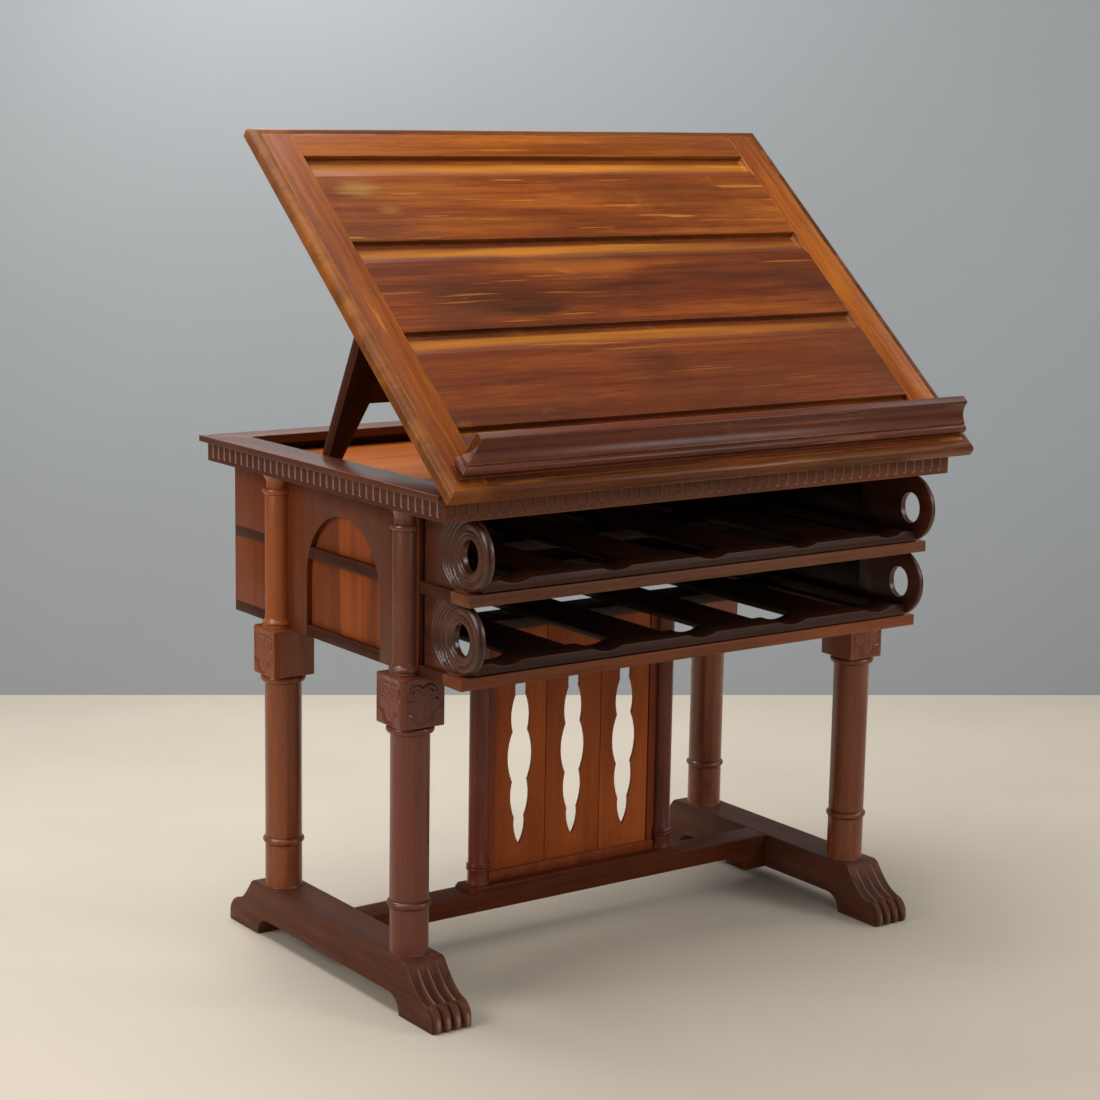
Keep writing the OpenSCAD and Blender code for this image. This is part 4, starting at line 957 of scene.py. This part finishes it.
# Reading desk
def desk_board(low, high):
    """A board drawn flat: its upper edge falls in a stopped cove to the foot of the next one."""
    bottom, top = 1.2, 21.7
    cove_wide, cove_deep, foot_wide, foot_deep = 48.0, 7.6, 4.6, 6.2
    radius = (cove_wide ** 2 + cove_deep ** 2) / (2 * cove_deep)
    ends = [0, 0.6, 1.5, 2.6, 4, 5.6, 7.5, 9.5, 11.5, 13.5, 15.5]
    across = [-FIELD_X] + [-FIELD_X + e for e in ends]
    across += list(np.linspace(-FIELD_X + 40, FIELD_X - 40, 21))
    across += [FIELD_X - e for e in reversed(ends)] + [FIELD_X]
    drop = [0, 0.01, 4.4, 4.8, 5.4, 6.5, 8, 10, 13, 16, 20, 24, 28, 32, 36, 40, 44, 47, 48.5, 50]
    along = [low, low, low + 0.5, low + 1.2] + list(np.linspace(low + 4, high - 52, 12))
    along += [high - d for d in reversed(drop)] + [high]

    def place(u, v, i, j):
        t = high - v
        inn = FIELD_X - np.abs(u)
        round_off = np.sqrt(np.clip(radius ** 2 - np.clip(t, 0, cove_wide) ** 2, 0, None))
        cove = np.where(t >= cove_wide, 0, cove_deep - (radius - round_off))
        fall = np.where(t < foot_wide, foot_deep, cove)
        stop = 9.0 * np.sqrt(np.clip(1 - (np.clip(14 - inn, 0, 14) / 14) ** 2, 0, 1))
        deep = np.minimum(fall, stop)
        low_edge = 0.6 * np.clip(1 - (v - low) / 1.2, 0, 1) ** 2
        rim = (i == 0) | (i == len(across) - 1) | (j == 0) | (j == len(along) - 1)
        z = np.where(rim, bottom, top - deep - low_edge)
        # A painted highlight in gold along the cove, weaker to the right, and at its right-hand
        # stop; painted shade in the step at the upper edge and on the line where the cove starts
        cove_highlight = rise(t, 9, 19) * rise(46 - t, 0, 18)
        hollow = np.where(t < foot_wide, 0.6, 0.3 * (1 - rise(t, foot_wide, 9)) - 0.9 * cove_highlight)
        hollow = np.where((t > 46.5) & (t < 49), 0.45, hollow * np.clip(deep / 2.0, 0, 1))
        hollow = hollow * (inn > 3) * np.where(hollow < 0, 1 - 0.45 * rise(u, 0, 420), 1)
        # Painted highlight on the right-hand stop only
        from_right = FIELD_X - u
        stop_highlight = (from_right > 3.9) & (from_right < 10) & (t > 6) & (t < 36)
        return (u, v, z), np.where(rim, 0, np.where(stop_highlight, -0.8, hollow))

    piece = bent_grid(across, along, place, capped=True)
    piece.data.transform(ON_DESK)
    return piece


class MakeDesk(bpy.types.Operator):
    """Shapes the reading desk: coved boards, stiles, rails, edge moulding, battens and hinges"""
    bl_idname = "lectern.desk"
    bl_label = "Reading desk"

    def execute(self, context):
        for k, word in enumerate(("high", "middle", "low")):
            high = FIELD_HIGH - k * BOARD_PITCH
            settle(desk_board(high - BOARD_PITCH, high), "coved_board_" + word,
                   "desk_board_" + word, word + " board", 30)
        dress("desk_wood", ("desk_bottom_rail", "low board", 0.5), ("desk_stiles", "stile", 1.0, 3),
              ("desk_top_rail", "desk rail", 1.0, 3), ("desk_edge_moulding", "moulding", 0.6),
              ("desk_battens", "batten", 1.5))
        dress("hinge_metal", ("desk_hinge_moving_leaves", "hinge", 0),
              ("strut_hinge_fixed_leaves", "hinge", 0))
        return {"FINISHED"}


class MakeLedge(bpy.types.Operator):
    """Shapes the moulded book ledge"""
    bl_idname = "lectern.ledge"
    bl_label = "Book ledge"

    def execute(self, context):
        dress("ledge_wood", ("book_ledge", "ledge", 0.5), smooth=35)
        return {"FINISHED"}


# Strut and trays
class MakeStrut(bpy.types.Operator):
    """Eases the prop strut and its hinges"""
    bl_idname = "lectern.strut"
    bl_label = "Prop strut"

    def execute(self, context):
        dress("strut_wood", ("strut_legs", "strut", 1.2), ("strut_panel", "strut panel", 1.2))
        dress("hinge_metal", ("strut_hinge_moving_leaves", "hinge", 0))
        return {"FINISHED"}


class MakeTrays(bpy.types.Operator):
    """Eases the two slatted trays"""
    bl_idname = "lectern.trays"
    bl_label = "Slatted trays"

    def execute(self, context):
        for tier in ("upper", "lower"):
            dress("tray_wood", (f"tray_{tier}_front_rail", "tray rail", 1.2),
                  (f"tray_{tier}_slats", "slat"), (f"tray_{tier}_frame", "slat"))
        return {"FINISHED"}


# Studio
# Each lamp: name, place, what it shines at, width and height, power, colour
LAMPS = (
    ("softbox_behind", (-0.3, 1.2, 2.5), (0.1, -0.2, 0.4), (1.8, 1.0), 48, (1, 1, 1)),
    ("softbox_above", (-0.5, -0.3, 3.4), (0, 0, 0.6), (2.2, 2.2), 50, (1, 1, 1)),
    ("window_left", (-3.5, 0.0, 2.4), (0, 0, 0.7), (1.8, 1.8), 58, (1, 0.98, 0.95)),
    ("softbox_front", (0.2, -4.4, 1.8), (0, 0, 0.6), (2.5, 2.0), 12, (1, 1, 1)),
    ("softbox_low_right", (1.7, -2.2, 1.7), (0.7, -1.0, 0.2), (1.0, 1.0), 23, (1, 1, 1)),
    ("fill_right", (3.4, 0.2, 2.2), (1.5, 0, 0), (2.0, 2.0), 40, (1, 1, 1)))
SKY_COLOUR, SKY_STRENGTH = (1.0, 0.98, 0.96, 1), 0.22
STUDIO_SIZE = 24
WALL_PLACE, WALL_TURN = (0.9053, 1.328 + MIDDLE_Y * MM, 6), -radians(31.6)
CAMERA_PLACE = (-2.37347, -3.23014 + MIDDLE_Y * MM, 1.37973)
CAMERA_YAW, CAMERA_PITCH, CAMERA_ROLL = radians(35.668), radians(-10.406), radians(0.9796)
CAMERA_LENS, SENSOR_WIDE = 79.88, 36


def studio_plane(name, material, location, rotation=(0, 0, 0)):
    nothing_picked()
    bpy.ops.mesh.primitive_plane_add(size=STUDIO_SIZE, location=location, rotation=rotation)
    plane = bpy.context.object
    plane.name = name
    plane.data.materials.append(material)
    return plane


class SetStage(bpy.types.Operator):
    """Lays the floor and wall, and sets the lamps and the camera"""
    bl_idname = "lectern.stage"
    bl_label = "Floor, lamps and camera"

    def execute(self, context):
        colours = context.scene.lectern_colours
        floor = studio_plane("studio_floor", matt("Studio floor", colours.floor, 0.93, 1.3, 0.8),
                             (0, 0, 0))
        wall = studio_plane("studio_wall", matt("Studio wall", colours.wall, 0.95, 0.6, 0.9),
                            WALL_PLACE, (pi / 2, 0, WALL_TURN))

        for name, where, aim, size, power, tint in LAMPS:
            data = bpy.data.lights.new(name, "AREA")
            data.shape = "RECTANGLE"
            data.size, data.size_y = size
            data.energy = power
            data.color = tint
            light = bpy.data.objects.new(name, data)
            context.scene.collection.objects.link(light)
            light.location = where
            turn = (Vector(aim) - Vector(where)).to_track_quat("-Z", "Y")
            light.rotation_euler = turn.to_euler()
        world = bpy.data.worlds.new("Studio light")
        context.scene.world = world
        world.use_nodes = True
        sky = world.node_tree.nodes["Background"].inputs
        sky["Color"].default_value = SKY_COLOUR
        sky["Strength"].default_value = SKY_STRENGTH

        camera_data = bpy.data.cameras.new("photo_camera")
        camera_data.lens = CAMERA_LENS
        camera_data.sensor_width = SENSOR_WIDE
        camera = bpy.data.objects.new("photo_camera", camera_data)
        context.scene.collection.objects.link(camera)
        yaw = Matrix.Rotation(-CAMERA_YAW, 4, "Z")
        pitch = Matrix.Rotation(pi / 2 + CAMERA_PITCH, 4, "X")
        roll = Matrix.Rotation(CAMERA_ROLL, 4, "Z")
        camera.matrix_world = Matrix.Translation(CAMERA_PLACE) @ (yaw @ pitch @ roll)
        context.scene.camera = camera
        context.scene.view_settings.view_transform = "Standard"
        return {"FINISHED"}


MAKERS = (MakeFeet, MakeLegs, MakePanel, MakeCase, MakeCheeks, MakeFrieze, MakeTop, MakeDesk,
          MakeLedge, MakeStrut, MakeTrays, SetStage)


class LECTERN_PT_panel(bpy.types.Panel):
    """Lists the steps that make the lectern"""
    bl_label = "Folio lectern"
    bl_idname = "LECTERN_PT_panel"
    bl_space_type = "VIEW_3D"
    bl_region_type = "UI"
    bl_category = "Lectern"

    def draw(self, context):
        for group in (context.scene.lectern_sizes, context.scene.lectern_colours):
            for name in group.bl_rna.properties.keys():
                if name not in ("rna_type", "name"):
                    self.layout.prop(group, name)
        for maker in MAKERS:
            self.layout.operator(maker.bl_idname)


CLASSES = (LecternSizes, LecternColours) + MAKERS + (LECTERN_PT_panel,)


def register():
    for item in CLASSES:
        bpy.utils.register_class(item)
    bpy.types.Scene.lectern_sizes = bpy.props.PointerProperty(type=LecternSizes)
    bpy.types.Scene.lectern_colours = bpy.props.PointerProperty(type=LecternColours)


def unregister():
    del bpy.types.Scene.lectern_sizes
    del bpy.types.Scene.lectern_colours
    for item in reversed(CLASSES):
        bpy.utils.unregister_class(item)


def main():
    register()
    for maker in MAKERS:
        group, name = maker.bl_idname.split(".")
        getattr(getattr(bpy.ops, group), name)()


if __name__ == "__main__":
    main()
